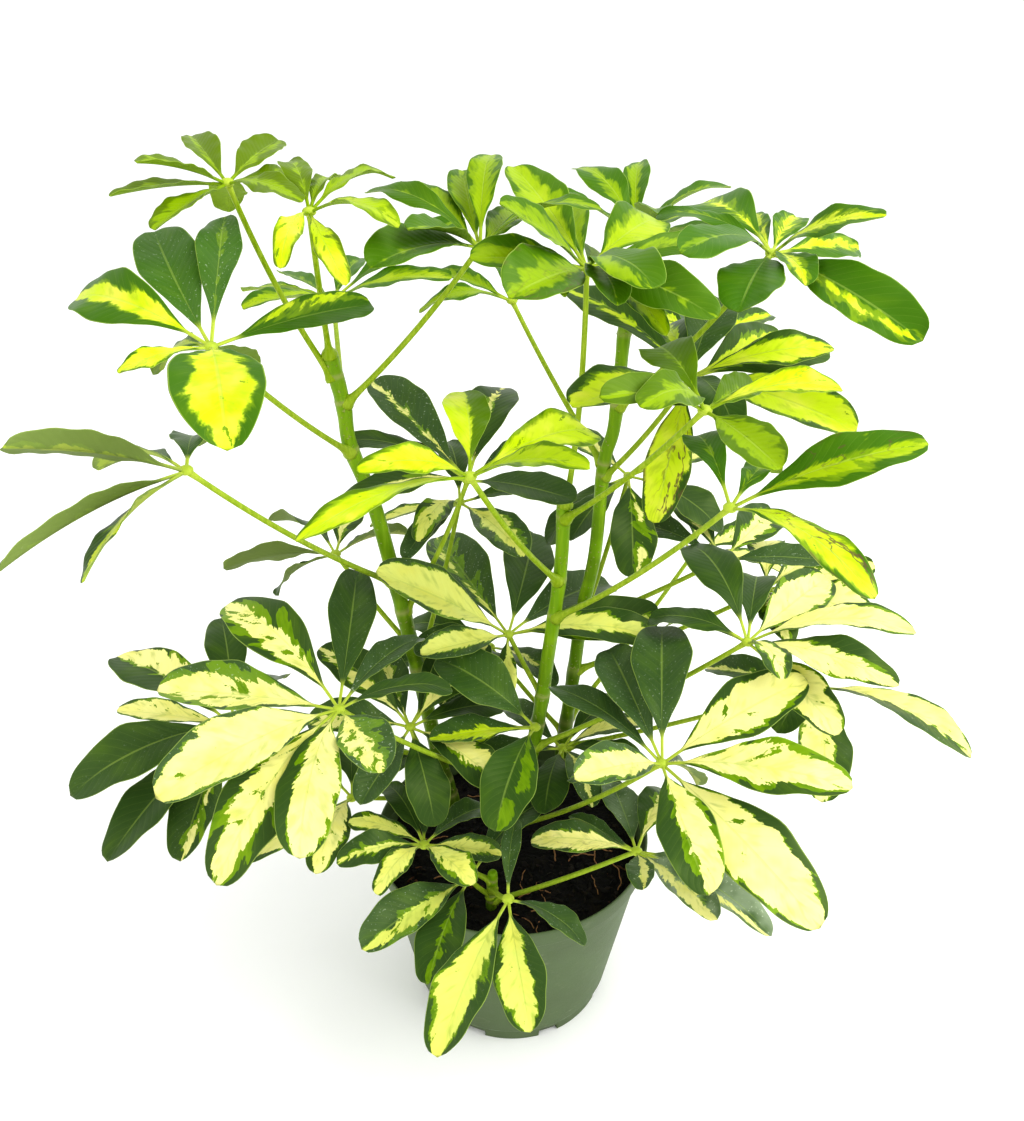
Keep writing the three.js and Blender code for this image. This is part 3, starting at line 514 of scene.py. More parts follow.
class Pose:
    """Axes of one leaflet at a bend and a share of its length."""

    def __init__(self, knob, leaflet, lean, bend, share):
        b, r = math.radians(leaflet[0] + bend[0]), math.radians(leaflet[1] + bend[1])
        self.d = np.array([math.cos(r) * math.cos(b), math.cos(r) * math.sin(b), math.sin(r)])
        facing = np.array([0, -math.sin(math.radians(lean)), math.cos(math.radians(lean))])
        self.n = unit(facing - (facing @ self.d) * self.d)
        self.s = np.cross(self.n, self.d)
        roll = math.radians(own(leaflet, 3, *ROLL))
        self.across = self.s * math.cos(roll) + self.n * math.sin(roll)
        self.above = self.n * math.cos(roll) - self.s * math.sin(roll)
        self.knob = np.array(knob) * MM
        self.reach = leaflet[2] * share * MM
        self.half = leaflet[3] * SPREAD * share * MM

    def corners(self):
        """The two upper corners of the solid leaflet's blunt tip."""
        end = self.knob + self.d * self.reach
        side = self.across * self.half * TIP_SHARE
        return np.array([end - side, end + side])


def pose_of(corners, knob, leaflet, lean):
    """The bend and length at which the packed solid has this leaflet."""
    poses = [Pose(knob, leaflet, lean, bend, share) for share in SHORTENINGS for bend in BENDS]
    misses = [nearest(corners, p.corners()) for p in poses]
    best = int(np.argmin(misses))
    if misses[best] > MATCH:
        raise RuntimeError(f"no leaflet at bearing {leaflet[0]} in the packed solid: {misses[best]}")
    return poses[best]


def leaflet_shape(pose, leaflet, age, flaw, look):
    """Stalk and blade of one leaflet as one swept section.

    The section is a flat lens with its halves folded up from a rounded valley; its half width
    follows outline(), and on the stalk it is nearly round. The midrib is a straight line lifted
    in an arch and swept, the margins ripple, and the tip curls over.
    """
    stalk = np.linspace(-STALK_SHARE / (1 - STALK_SHARE), 0, look.stalk_rows, endpoint=False)
    x = np.linspace(0, 1, look.blade_rows)
    # The rows lie closer together at both ends of the blade
    c = np.concatenate([stalk, 0.5 * x + 0.5 * (0.5 - 0.5 * np.cos(np.pi * x))])[:-1]
    t = STALK_SHARE + (1 - STALK_SHARE) * c
    turn = turns(look.columns)[None]
    u, side = np.cos(turn), np.sin(turn)
    row = c[:, None]
    on_blade = ease(0, WIDENING, row)

    def wave(k, pitch, shift):
        """A sine along the blade that starts at the leaflet's own place."""
        return np.sin(pitch * row + own(leaflet, k, 0, shift))

    uneven = 1 + own(leaflet, 8, *LOPSIDED) * u + UNEVEN_MARGIN * wave(9, *MARGIN_WAVE)
    w = np.sqrt((pose.half * outline(row) * uneven) ** 2 + look.stalk_half ** 2)
    thick = look.stalk_thick * (1 - on_blade) + look.blade_thick * on_blade
    rib = look.rib_height * bell(u * w, look.rib_half) * (1 - RIB_FALL * np.clip(row, 0, 1))
    rib = rib * on_blade * np.where(side < 0, 1.0, RIB_ABOVE)

    fold = math.radians(own(leaflet, 1, *FOLD))
    # The halves rise from a rounded valley and bend down a little to the margins
    cup = 1.2 * (np.sqrt(u**2 + 0.02) - 0.1414) - 0.2 * np.abs(u) ** 3
    ripple = -own(leaflet, 5, *RIPPLE) * MM * wave(6, *RIPPLE_WAVE)
    ripple = ripple * ease(*RIPPLE_PART, row) * u * np.abs(u)
    fine = look.fine_wave * wave(7, *FINE_WAVE) * ease(*FINE_PART, row) * u**2
    curl = -own(leaflet, 10, *CURL) * MM * ease(*CURL_PART, row)
    lift = w * math.sin(fold) * cup * on_blade + ripple + fine + curl
    swell = (thick / 2) * np.sign(side) * np.abs(side) ** EDGE_POWER
    z = lift - thick / 2 + swell - np.where(side < 0, rib, 0)

    hump = 4 * t * (1 - t) * pose.reach
    mid = pose.knob + np.outer(t * pose.reach, pose.d)
    mid += np.outer(hump * own(leaflet, 2, *ARCH), pose.n)
    mid += np.outer(hump * own(leaflet, 4, *SWEEP), pose.s)
    flat = 1 - (1 - math.cos(fold)) * on_blade
    rings = mid[:, None] + pose.across * (u * w * flat)[..., None] + pose.above * z[..., None]
    tip = pose.knob + pose.d * pose.reach + pose.above * (curl[-1, 0] - thick[-1, 0] / 2)
    under = 0.5 - 0.5 * np.sign(np.round(side, 6))
    return shape(
        closed_tube(rings, last=tip),
        leaf=(
            np.append(np.tile(u[0], len(c)), [0, 0]),
            by_row(c, look.columns, c[0], 1),
            np.append(np.tile(under[0], len(c)), [0.5, 0.5]),
        ),
        paint=(*leaflet[4:], 0, 0, 0)[:3],
        # Kind: age, a seed for the patterns, and how much painted grey sheen the blade gets
        kind=(age, own(leaflet, 11, 0, 10), own(leaflet, 12, 0.5, 0.5)),
        flaw=(*flaw, 0),
    )


def stem_axis(stem, z):
    """Point of a stem's axis at a height, straight from point to point of its path."""
    path = np.array(STEMS[stem][1], float)
    return np.array([np.interp(z, path[:, 2], path[:, k]) for k in range(3)])


def petiole_path(stem, height, knob, bow, t):
    """Points of a petiole at shares t of the way, its directions there and its sideways axis: a
    quadratic curve that leaves the stem sideways."""
    axis = stem_axis(stem, height)
    out = np.array([knob[0] - axis[0], knob[1] - axis[1], 0])
    flat = np.linalg.norm(out)
    sideways = np.array([-out[1], out[0], 0]) / flat
    start = axis + out * PETIOLE_START * STEMS[stem][0][1] / flat
    reach = np.linalg.norm(knob - start)
    control = start + (knob - start) * PETIOLE_BEND
    control += out * PETIOLE_SWELL * reach / flat + sideways * bow
    t = np.asarray(t)[:, None]
    along = (control - start) + ((knob - control) - (control - start)) * t
    return quadratic(start, control, knob, t) * MM, unit(along), sideways


def petiole_shape(corners, stem, height, knob, age, look):
    """Petiole along the path that the packed solid has, with a flared foot and a swollen end."""
    knob = np.array(knob, float)
    top = STEMS[stem][0][1]
    foot = min(1, PETIOLE_FOOT * top / PETIOLE_FOOT_RADIUS)
    half_way = PETIOLE_HALFWAY_RADIUS * (foot + (1 - foot) * 0.5) * MM

    def miss(bow):
        """How far the solid is from having a square section of this path halfway along."""
        path, along, sideways = petiole_path(stem, height, knob, bow, [0.5])
        a = unit(sideways - (sideways @ along[0]) * along[0])
        b = np.cross(along[0], a)
        turn = turns(4) + np.pi / 4
        spokes = np.outer(np.cos(turn), a) + np.outer(np.sin(turn), b)
        return nearest(corners, path + half_way * spokes)

    bow = min(PETIOLE_BOWS, key=miss)
    # The rows lie closer together at the foot
    t = np.linspace(0, 1, look.petiole_rows) ** 1.3
    path, _, sideways = petiole_path(stem, height, knob, bow, t)
    flare = sum(share * top * bell(t, long) for share, long in PETIOLE_FLARES)
    flare = flare + PETIOLE_END * bell(1 - t, PETIOLE_END_LENGTH)
    radii = look.petiole_radius * (1 + PETIOLE_TAPER * (1 - t)) + flare * MM
    tube = closed_tube(rings_along(path, radii, sideways, look.petiole_columns))
    share = by_row(t, look.petiole_columns, 0, 1)
    return shape(tube, 1, leaf=(0, share, 0), kind=(age, knob[0], 0))


def hub_shape(knob, age, look):
    """Small round hub that the leaflets grow from: a flattened ball."""
    middle = np.array(knob) * MM
    up = np.array([0, 0, look.hub_half_height])
    tilt = rows_of_ball(look.hub_rows)
    turn = turns(look.hub_columns)
    spoke = np.stack([np.cos(turn), np.sin(turn), 0 * turn], -1) * look.hub_radius
    rings = (middle + np.outer(np.sin(tilt), up))[:, None] + np.cos(tilt)[:, None, None] * spoke
    tube = closed_tube(rings, middle - up, middle + up)
    return shape(tube, 1, leaf=(0, 1, 0), kind=(age, knob[0], 0))


def build_leaf(node, look, finishes):
    """One compound leaf: petiole, hub and all of its leaflets, as one piece."""
    stem, height, knob, age, lean, leaflets = LEAVES[node]
    corners = corners_of(node)
    shapes = [petiole_shape(corners, stem, height, knob, age, look), hub_shape(knob, age, look)]
    for leaflet in leaflets:
        pose = pose_of(corners, knob, leaflet, lean)
        flaw = FLAWS.get(node, {}).get(leaflet[0], (0, 0))
        shapes.append(leaflet_shape(pose, leaflet, age, flaw, look))
    return add_piece(node.replace("leaf", "whorl"), shapes, finishes, [node])


# Stems

def build_stem(name, look, finish):
    """Stem: a round section along a smooth path, a little thicker at each joint where a leaf
    stands or has stood, with the thin ridge of a leaf scar above it, and a domed top."""
    (foot, top), path = STEMS[name]
    way = spline(path, look.stem_rows) * MM
    z = way[:, 2] / MM
    share = (z - z[0]) / (z[-1] - z[0])
    grown = sorted(leaf[1] for leaf in LEAVES.values() if leaf[0] == name)
    first = z[0] + FIRST_SCAR
    old = np.arange(first, grown[0] if name != "front" else first + 1, look.scar_spacing / MM)
    joints = np.concatenate([grown, old + UNEVEN_SCARS * np.sin(old)])
    near = z[:, None] - joints[None]
    swell = JOINT_SWELL * bell(near + JOINT_BELOW, JOINT_LENGTH).max(1)
    ridge = SCAR_RIDGE * bell(near - SCAR_ABOVE, SCAR_LENGTH).max(1)
    scar = bell(near - SCAR_ABOVE, TAN_LENGTH).max(1)
    radii = (foot + (top - foot) * share) * (1 + swell + ridge)
    dome = np.linspace(0, 1, DOME_ROWS + 2)[1:-1]
    radii = np.concatenate([radii, radii[-1] * np.sqrt(1 - dome**2)])
    way = np.vstack([way, way[-1] + np.outer(dome * look.stem_dome, unit(way[-1] - way[-2]))])
    cut = dome * (name == CUT_STEM)
    columns = look.stem_columns
    piece = shape(
        closed_tube(rings_along(way, radii * MM, np.array([1.0, 0, 0]), columns)),
        stem=(
            by_row(np.append(share, np.ones(DOME_ROWS)), columns, 0, 1),
            by_row(np.append(scar, np.zeros(DOME_ROWS)), columns, 0, 0),
            by_row(np.append(np.zeros(look.stem_rows), cut), columns, 0, cut[-1]),
        ))
    return add_piece(f"{name}_stem", [piece], [finish], [f"stem_{name}"])


# Pot and potting mix

def eased_corners(profile, radius, steps=4, most=0.4):
    """A profile with each corner rounded: a quadratic curve over radius of both its edges, and
    over at most a share of the shorter one."""
    p = np.array(profile, float)
    here = p[1:-1]
    back, ahead = p[:-2] - here, p[2:] - here
    shorter = np.minimum(np.linalg.norm(back, axis=1), np.linalg.norm(ahead, axis=1))
    cut = np.minimum(radius, most * shorter)[:, None]
    a, b = here + unit(back) * cut, here + unit(ahead) * cut
    t = np.linspace(0, 1, steps)[None, :, None]
    rounded = quadratic(a[:, None], here[:, None], b[:, None], t)
    return np.vstack([p[:1], rounded.reshape(-1, 2), p[-1:]])


def finer(profile, longest):
    """A profile with long edges cut into equal lengths of at most longest."""
    p = np.array(profile, float)
    steps = np.maximum(1, np.ceil(np.linalg.norm(np.diff(p, axis=0), axis=1) / longest)).astype(int)
    at = np.concatenate([i + np.arange(n) / n for i, n in enumerate(steps)] + [[len(p) - 1]])
    return np.stack([np.interp(at, np.arange(len(p)), p[:, k]) for k in range(2)], -1)


def notch_bearings():
    """The bearing in degrees of each notch's middle, halfway between the feet."""
    return (np.arange(NOTCHES) + 0.5) * 360 / NOTCHES + 90


def build_pot(look, finish):
    """Pot: a rounded profile turned about the z axis, whose foot ring is lifted at each notch,
    with drain holes cut in the floor."""
    profile = finer(eased_corners(POT_WALL, look.pot_edge / MM), POT_STEP)[1:-1]
    inner, outer = NOTCH_HALF_ANGLE * np.array(NOTCH_SIDES)
    edges = notch_bearings()[:, None] + np.array([-outer, -inner, inner, outer])
    even = np.linspace(0, 360, look.pot_columns, endpoint=False)
    angles = np.unique(np.round(np.concatenate([even, np.mod(edges.ravel(), 360)]), 3))
    sector = 360 / NOTCHES
    notch = 1 - ease(inner, outer, np.abs(np.mod(angles - 90, sector) - sector / 2))
    r, z = profile[:, 0][:, None], profile[:, 1][:, None]
    on_foot = ease(*FOOT_RING, r) * (z < NOTCH_HEIGHT)
    z = np.where(on_foot > 0, np.maximum(z, NOTCH_HEIGHT * notch[None] * on_foot), z)
    turn = np.radians(angles)[None]
    rings = np.stack([r * np.cos(turn), r * np.sin(turn), z + 0 * turn], -1) * MM
    bottom, top = [np.array([0, 0, POT_WALL[k][1]]) * MM for k in (0, -1)]
    inside = ease(*POT_INSIDE, np.arange(len(profile)) - np.argmax(profile[:, 1]))
    piece = shape(closed_tube(rings, bottom, top), pot=(by_row(inside, len(angles), 0, 1), 0, 0))
    pot = add_piece("nursery_pot", [piece], [finish], ["pot"])
    cut_drains(pot)
    return pot


def cut_drains(pot):
    """Cuts the round drain holes through the pot's floor."""
    turn = turns(DRAIN_SIDES)
    shapes = []
    for at in np.radians(notch_bearings()):
        x = (DRAIN_AT * math.cos(at) + DRAIN_RADIUS * np.cos(turn)) * MM
        y = (DRAIN_AT * math.sin(at) + DRAIN_RADIUS * np.sin(turn)) * MM
        rings = np.stack([np.stack([x, y, 0 * turn + h * MM], -1) for h in DRAIN_HEIGHTS])
        shapes.append(shape(closed_tube(rings)))
    cutter = add_piece("drain_cutter", shapes, [], [])
    cut = pot.modifiers.new("drains", "BOOLEAN")
    cut.operation, cut.solver, cut.object = "DIFFERENCE", "EXACT", cutter
    mesh = bpy.data.meshes.new_from_object(pot.evaluated_get(bpy.context.evaluated_depsgraph_get()))
    pot.modifiers.clear()
    old, pot.data = pot.data, mesh
    bpy.data.meshes.remove(old)
    mesh.name = pot.name
    bpy.data.objects.remove(cutter)


def soil_height(x, y):
    """Height of the mix's top in mm: its slow fall towards the wall with crumbs of four sizes."""
    level = np.interp(np.hypot(x, y), SOIL_RADII, SOIL_HEIGHTS)
    crumbs = sum(
        high * (lattice(x / wide, y / wide, salt) - 0.5) for salt, (wide, high) in enumerate(CRUMBS))
    return level + crumbs - CRUMBS_SINK


def build_soil(look, finish):
    """Potting mix: a turned body whose top is crumbled by noise of several sizes."""
    side = np.array(SOIL_SIDE)
    top = np.sqrt(np.linspace(SOIL_INNERMOST**2, 1, look.soil_rows))[::-1] * SOIL_RADII[-1]
    turn = turns(look.soil_columns)
    radii = np.append(side[:, 0], top)[:, None]
    x, y = radii * np.cos(turn), radii * np.sin(turn)
    z = soil_height(x, y)
    z[:len(side)] = side[:, 1:]
    piece = shape(closed_tube(np.stack([x, y, z], -1) * MM))
    return add_piece("potting_mix", [piece], [finish], ["soil"])


def near_stem(x, y, room):
    """Whether any of the points of the mix lies within room mm of a stem."""
    at = np.array([stem_axis(name, SOIL_HEIGHTS[0])[:2] for name in STEMS])
    return (np.hypot(np.subtract.outer(x, at[:, 0]), np.subtract.outer(y, at[:, 1])) < room).any()


def drawn_place(draw, share):
    """A random place on the mix, within a share of its radius."""
    r, a = SOIL_RADII[-1] * share * math.sqrt(draw.random()), 2 * np.pi * draw.random()
    return r * math.cos(a), r * math.sin(a)


def build_bits(look, finish):
    """Bark chips, a few pale roots and crumbs lying on the mix: a chip is a ball of few corners,
    stretched, dented, turned and tipped, and a root is a thin tube along a winding line."""
    draw = np.random.default_rng(7)
    shapes = []
    tilt, turn = rows_of_ball(CHIP_ROWS), turns(CHIP_CORNERS)
    ball = np.stack([np.outer(np.cos(tilt), np.cos(turn)), np.outer(np.cos(tilt), np.sin(turn)),
                     np.outer(np.sin(tilt), 0 * turn + 1)], -1)
    for _ in range(look.chips):
        x, y = drawn_place(draw, CHIP_REACH)
        size = np.array([draw.uniform(*ends) for ends in CHIP_SIZES])
        spin, slope = draw.uniform(0, 2 * np.pi), draw.uniform(-CHIP_SLOPE, CHIP_SLOPE)
        lump = ball * size * (1 + CHIP_DENTS * draw.standard_normal((CHIP_ROWS, CHIP_CORNERS, 1)))
        c, s = math.cos(spin), math.sin(spin)
        lump = lump @ np.array([[c, s, 0], [-s, c, 0], [0, 0, 1]])
        lump[..., 2] += lump[..., 0] * slope
        tone = draw.random()
        if not near_stem(x, y, CHIP_ROOM):
            rings = (lump + [x, y, float(soil_height(x, y)) + CHIP_RISE * size[2]]) * MM
            shapes.append(shape(closed_tube(rings), bit=(tone, 0, 0)))
    for _ in range(look.roots):
        x, y = drawn_place(draw, ROOT_REACH)
        heading, bend = draw.uniform(0, 2 * np.pi), draw.uniform(*ROOT_BEND)
        step, radius = draw.uniform(*ROOT_STEP), draw.uniform(*ROOT_RADIUS)
        k = np.arange(ROOT_POINTS)
        way = heading + bend * k + ROOT_WINDING * np.sin(k * ROOT_PITCH + heading)
        x, y = x + np.cumsum(np.cos(way)) * step, y + np.cumsum(np.sin(way)) * step
        if np.hypot(x, y).max() <= SOIL_RADII[-1] - 1 and not near_stem(x, y, ROOT_ROOM):
            path = np.stack([x, y, soil_height(x, y) + radius * ROOT_RISE], -1) * MM
            radii = np.full(ROOT_POINTS, radius * MM)
            rings = rings_along(path, radii, np.array([0, 0, 1.0]), ROOT_CORNERS)
            shapes.append(shape(closed_tube(rings), bit=(0.5, 1, 0)))
    bits = add_piece("bark_and_roots", shapes, [finish], [])
    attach(bits, BODY)
    return bits


# Finishes

def reckoned(operation, swapped=False):
    """A method of Field that adds one Math node, with the field as its last value if swapped."""
    def method(self, *others):
        values = (*others, self) if swapped else (self, *others)
        made = self.finish.node("ShaderNodeMath", dict(enumerate(values)), operation=operation)
        return Field(self.finish, made.outputs[0])
    return method


class Field:
    """A number that varies over a surface: a shader socket that takes Python's arithmetic."""

    __add__ = __radd__ = reckoned("ADD")
    __sub__ = reckoned("SUBTRACT")
    __rsub__ = reckoned("SUBTRACT", swapped=True)
    __mul__ = __rmul__ = reckoned("MULTIPLY")
    __gt__ = reckoned("GREATER_THAN")
    __abs__ = reckoned("ABSOLUTE")
    floor = reckoned("FLOOR")
    # The larger and the smaller of two
    most = reckoned("MAXIMUM")
    least = reckoned("MINIMUM")

    def __init__(self, finish, socket):
        self.finish, self.socket = finish, socket

    def step(self, low, high):
        """0 below low, 1 above high, with a smooth step between them."""
        made = self.finish.node(
            "ShaderNodeMapRange", {"Value": self, "From Min": low, "From Max": high},
            interpolation_type="SMOOTHSTEP")
        return Field(self.finish, made.outputs["Result"])


class Finish:
    """A material whose nodes come from node(), one call each."""

    def __init__(self, name):
        self.material = bpy.data.materials.new(name)
        self.material.use_nodes = True
        self.tree = self.material.node_tree
        self.tree.nodes.clear()
        self.place = self.node("ShaderNodeTexCoord", {}).outputs["Object"]

    def node(self, kind, sockets, **settings):
        """A node with its settings made first, then its sockets' values or links."""
        made = self.tree.nodes.new(kind)
        for name, value in settings.items():
            setattr(made, name, value)
        for name, value in sockets.items():
            value = getattr(value, "socket", value)
            if isinstance(value, bpy.types.NodeSocket):
                self.tree.links.new(value, made.inputs[name])
            else:
                made.inputs[name].default_value = value
        return made

    def split(self, vector):
        """The three parts of a vector as fields."""
        made = self.node("ShaderNodeSeparateXYZ", {0: vector})
        return [Field(self, made.outputs[k]) for k in range(3)]

    def marked(self, name):
        """The three parts of a mesh's own per-point marks."""
        return self.split(self.node("ShaderNodeAttribute", {}, attribute_name=name).outputs["Vector"])

    def joined(self, x, y, z):
        """A vector from its three parts."""
        return self.node("ShaderNodeCombineXYZ", {0: x, 1: y, 2: z}).outputs[0]

    def noise(self, size, detail=2.0, at=None, rough=0.5):
        """Cloudy noise with patches of about size metres, from 0 to 1."""
        place = self.place if at is None else at
        made = self.node("ShaderNodeTexNoise", {
            "Vector": place, "Scale": 1 / size, "Detail": detail, "Roughness": rough})
        return Field(self, made.outputs["Fac"])

    def layered(self, tone, *layers):
        """A colour with others laid over it in turn, each given as its amount and itself."""
        for amount, colour in layers:
            mixed = self.node("ShaderNodeMix", {0: amount, 6: tone, 7: colour}, data_type="RGBA")
            tone = mixed.outputs[2]
        return tone

    def surface(self, colour, roughness, relief, depth, gloss=0.5, glint=(1, 1, 1, 1)):
        """Ends the material: one Principled surface, raised by relief times depth metres."""
        bump = self.node("ShaderNodeBump", {"Height": relief, "Distance": depth, "Strength": 1.0})
        skin = self.node("ShaderNodeBsdfPrincipled", {
            "Base Color": colour, "Roughness": roughness, "Specular IOR Level": gloss,
            "Specular Tint": glint, "Normal": bump.outputs[0]})
        self.node("ShaderNodeOutputMaterial", {"Surface": skin.outputs[0]})
        return self.material


def leaf_finish(c):
    """Blades: cream or yellow areas torn along the side veins, lime patches beside and inside
    them, dark green outside, and a matt pale underside. Young leaves are olive and lime all over,
    and the old dark blades carry painted sheen, grey clouds for their satin shine, with dried
    dust and specks."""
    f = Finish("variegated_blade")
    across, along, under = f.marked("leaf")
    cream, shift, lime = f.marked("paint")
    age, seed, sheen_amount = f.marked("kind")
    crack, dust, _ = f.marked("flaw")
    out = abs(across)
    vein = along - out * VEIN_SLANT
    fine = f.noise(0.0009, 1.0)
    cloud = f.noise(0.014, 2.0)
    speck = f.noise(0.0012, 2.0)

    def torn(by_length, by_width, salt, detail=2.0):
        """Noise drawn out along the side veins, with so many patches to the blade's length and
        to its half width."""
        at = f.joined(vein * by_length + seed * 5, across * by_width + seed * 3, seed + salt)
        return f.noise(1.0, detail, at)

    # The cream area's edge, the lime band outside it and the islands inside it
    ragged = (torn(3.5, 0.9, 3) - 0.5) + (torn(13, 1.5, 7) - 0.5) * 0.8
    ragged = ragged + (torn(40, 4, 1, 1.0) - 0.5) * 0.22
    width = cream * (1.06 - along * along * 0.22) * (0.7 + along.step(-0.02, 0.25) * 0.3)
    loose = (1.05 - cream).most(0.0) * 0.7 + 0.5
    edge = abs(across - shift) - width + ragged * loose + (fine - 0.5) * 0.12
    soft = 0.015 + (1 - age) * 0.12
    creamy = (1 - edge.step(soft * -1, soft)) * (cream > 0.02)
    reach = ((torn(6, 1.2, 21) - 0.36) * 3.6).most(0.0).least(1.5) + (fine - 0.5) * 0.25
    band = (1 - (edge - lime * reach).step(soft * -1.2, soft * 1.2)) * (lime > 0.005)
    island = torn(8, 1.4, 31, 3.0) + (fine - 0.5) * 0.12 + lime * 0.26
    island = island.step(0.735, 0.755) * creamy * edge.step(-0.75, -0.5)

    # The tones of the dark, lime and cream areas, by age
    dark = f.layered(
        c.young_green,
        (age.step(0.15, 0.5), c.green),
        (age.step(0.55, 0.9), c.old_green),
        (torn(5, 0.8, 41).step(0.45, 0.8) * 0.2, c.lime))
    middle = f.layered(
        c.young_lime,
        (age.step(0.2, 0.7), c.lime),
        (torn(11, 2.0, 51).step(0.45, 0.7) * 0.6, f.layered(c.young_green, (age, c.green))))
    vivid = cream.step(0.45, 0.85).most(age.step(0.45, 0.6))
    light = f.layered(
        c.young_lime,
        (vivid, c.young_yellow),
        (age.step(0.78, 0.98), c.cream),
        (cloud.step(0.35, 0.8) * vivid * 0.6, c.yellow),
        (torn(14, 2.0, 81).step(0.5, 0.75) * 0.35, middle))

    # Painted sheen in grey clouds on the old dark blades, partly dried dust; cracks and burnt margins
    bare = 1 - creamy * 0.8
    # Painted sheen: grey clouds on old dark blades stand for their satin shine, with the dried dust
    # of the flaws added
    grey_sheen_and_dust = (sheen_amount.step(0.3, 1.0) * age.step(0.6, 0.95) * 0.8).most(dust * 1.6) * bare * cloud
    split = (1 - abs(torn(3.0, 1.0, 61, 4.0) - 0.5).step(0.004, 0.018)) * across.step(-0.6, 0.3)
    burnt = out.step(0.8, 0.98) * torn(9, 1.0, 71).step(0.52, 0.62)

    # Midrib, side veins and margin, stalk and underside
    on_blade = along.step(0.0, 0.08)
    rib = (1 - out.step(0.02, 0.05)) * (1 - along.step(0.7, 1.0))
    row = vein * SIDE_VEINS + seed
    comb = abs((row - row.floor()) * 2 - 1)
    side_vein = comb.step(0.9, 0.99) * (1 - out.step(0.7, 1.0)) * on_blade
    stalk = f.layered(c.young_lime, (age.step(0.2, 0.6), c.stalk))
    film = f.layered(c.young_underside, (age.step(0.3, 0.85), c.underside))

    tone = f.layered(
        dark,
        (band, middle),
        (creamy, light),
        (island, middle),
        # Painted sheen and dried dust, in grey
        (grey_sheen_and_dust * 0.6, c.grey_sheen_and_dust),
        (speck.step(0.64, 0.72) * (grey_sheen_and_dust * 1.2).least(1.0), c.speck),
        (cloud.step(0.3, 0.62) * dust.step(0.5, 1.0) * bare * 0.4, c.speck),
        (split.most(burnt) * crack * 0.85, c.bark),
        (rib * 0.26, c.vein),
        (side_vein * 0.08, c.vein),
        (out.step(0.96, 0.99) * 0.6 * on_blade, c.vein),
        (1 - along.step(-0.03, 0.06), stalk),
        (under * 0.72, film))
    relief = (1 - comb) * (1 - out * 0.5) * 0.25 - rib * 0.5 + speck * 0.08 + cloud * 0.4
    return f.surface(tone, 0.36 + under * 0.25 + speck * 0.08, relief, 0.0003, 0.3, GREEN_GLINT)


def petiole_finish(c):
    """Leaf stalks and hubs: lime green, paler at the far end and on the hubs, with faint lengthwise
    streaks.
    """
    f = Finish("leaf_stalk")
    _, along, _ = f.marked("leaf")
    age, seed, _ = f.marked("kind")
    x, y, z = f.split(f.place)
    streak = f.noise(0.0015, 2.0, f.joined(x, y, z * 0.12))
    tone = f.layered(
        c.young_lime,
        (age.step(0.1, 0.6), c.petiole),
        (streak.step(0.35, 0.75) * 0.55, c.stalk),
        (along.step(0.9, 1.0) * 0.7, c.stalk),
        (f.noise(0.009, 2.0, f.joined(x + seed, y, z)).step(0.55, 0.8) * 0.3, c.lime))
    return f.surface(tone, 0.36 + streak * 0.1, streak, 0.0002, 0.35, GREEN_GLINT)


def stem_finish(c):
    """Stems: bright green bark with pale raised dots and lengthwise streaks, tan leaf scars, a
    browner foot, and a dry pinkish cut on the shortened one."""
    f = Finish("green_stem")
    share, scar, cut = f.marked("stem")
    x, y, z = f.split(f.place)
    streak = f.noise(0.003, 3.0, f.joined(x, y, z * 0.1))
    older = f.noise(0.028, 0.0, f.joined(0.0, 0.0, z)).step(0.45, 0.52) * (1 - share.step(0.3, 0.9))
    dots = f.noise(0.0021, 1.0).step(0.66, 0.72)
    brown = f.noise(0.012, 3.0).step(0.55, 0.75) * (1 - share.step(0.1, 0.5))
    tone = f.layered(
        c.stem_foot,
        (share.step(0.0, 0.7), c.stem),
        (streak.step(0.4, 0.8) * 0.5, c.stem_streak),
        (older * 0.6, c.stem_foot),
        (dots * 0.5, c.scar),
        (scar * 0.55, c.scar),
        (brown * 0.5, c.bark),
        (cut.step(0.05, 0.25), f.layered(c.cut, (streak, c.bark))))
    relief = streak + dots * 0.7 - scar * 0.4
    return f.surface(tone, 0.32 + streak * 0.15, relief, 0.0004, 0.4, GREEN_GLINT)


def pot_finish(c):
    """Pot: sage-green moulded plastic with a fine matt grain and dust, a pale line along the ledge
    above the foot, black inside.
    """
    f = Finish("moulded_plastic")
    inner, _, _ = f.marked("pot")
    x, y, z = f.split(f.place)
    fine = f.noise(0.0007, 2.0)
    dust = f.noise(0.012, 5.0, f.joined(x, y, z * 1.6), 0.65)
    # A pale broken line along the ledge above the foot
    ledge = (1 - abs(z - 0.0102).step(0.0004, 0.0009)) * dust.step(0.35, 0.6)
    tone = f.layered(
        c.pot,
        (f.noise(0.03, 4.0).step(0.3, 0.75) * 0.45, c.pot_faded),
        (dust.step(0.56, 0.78) * (0.3 + (1 - z.step(0.0, 0.05)) * 0.4), c.dust),
        (ledge * 0.7, c.speck),
        (inner, f.layered(c.pot_inside, (dust, c.bark))))
    return f.surface(tone, 0.42 + fine * 0.12 + dust * 0.15, fine + dust * 0.4, 0.00012)


def soil_finish(c):
    """Potting mix: black-brown crumbs, lighter where dry, with red-brown bark fibres."""
    f = Finish("potting_mix")
    grain = f.noise(0.0022, 4.0)
    fibre = f.noise(0.0045, 3.0, None, 0.7)
    tone = f.layered(
        c.soil_dark,
        (grain.step(0.35, 0.75), c.soil),
        (f.noise(0.011, 3.0).step(0.5, 0.75) * 0.5, c.soil_dry),
        (fibre.step(0.66, 0.72) * 0.6, c.fibre))
    return f.surface(tone, 0.85 + grain * 0.1, grain + fibre * 0.6, 0.0012, 0.3)


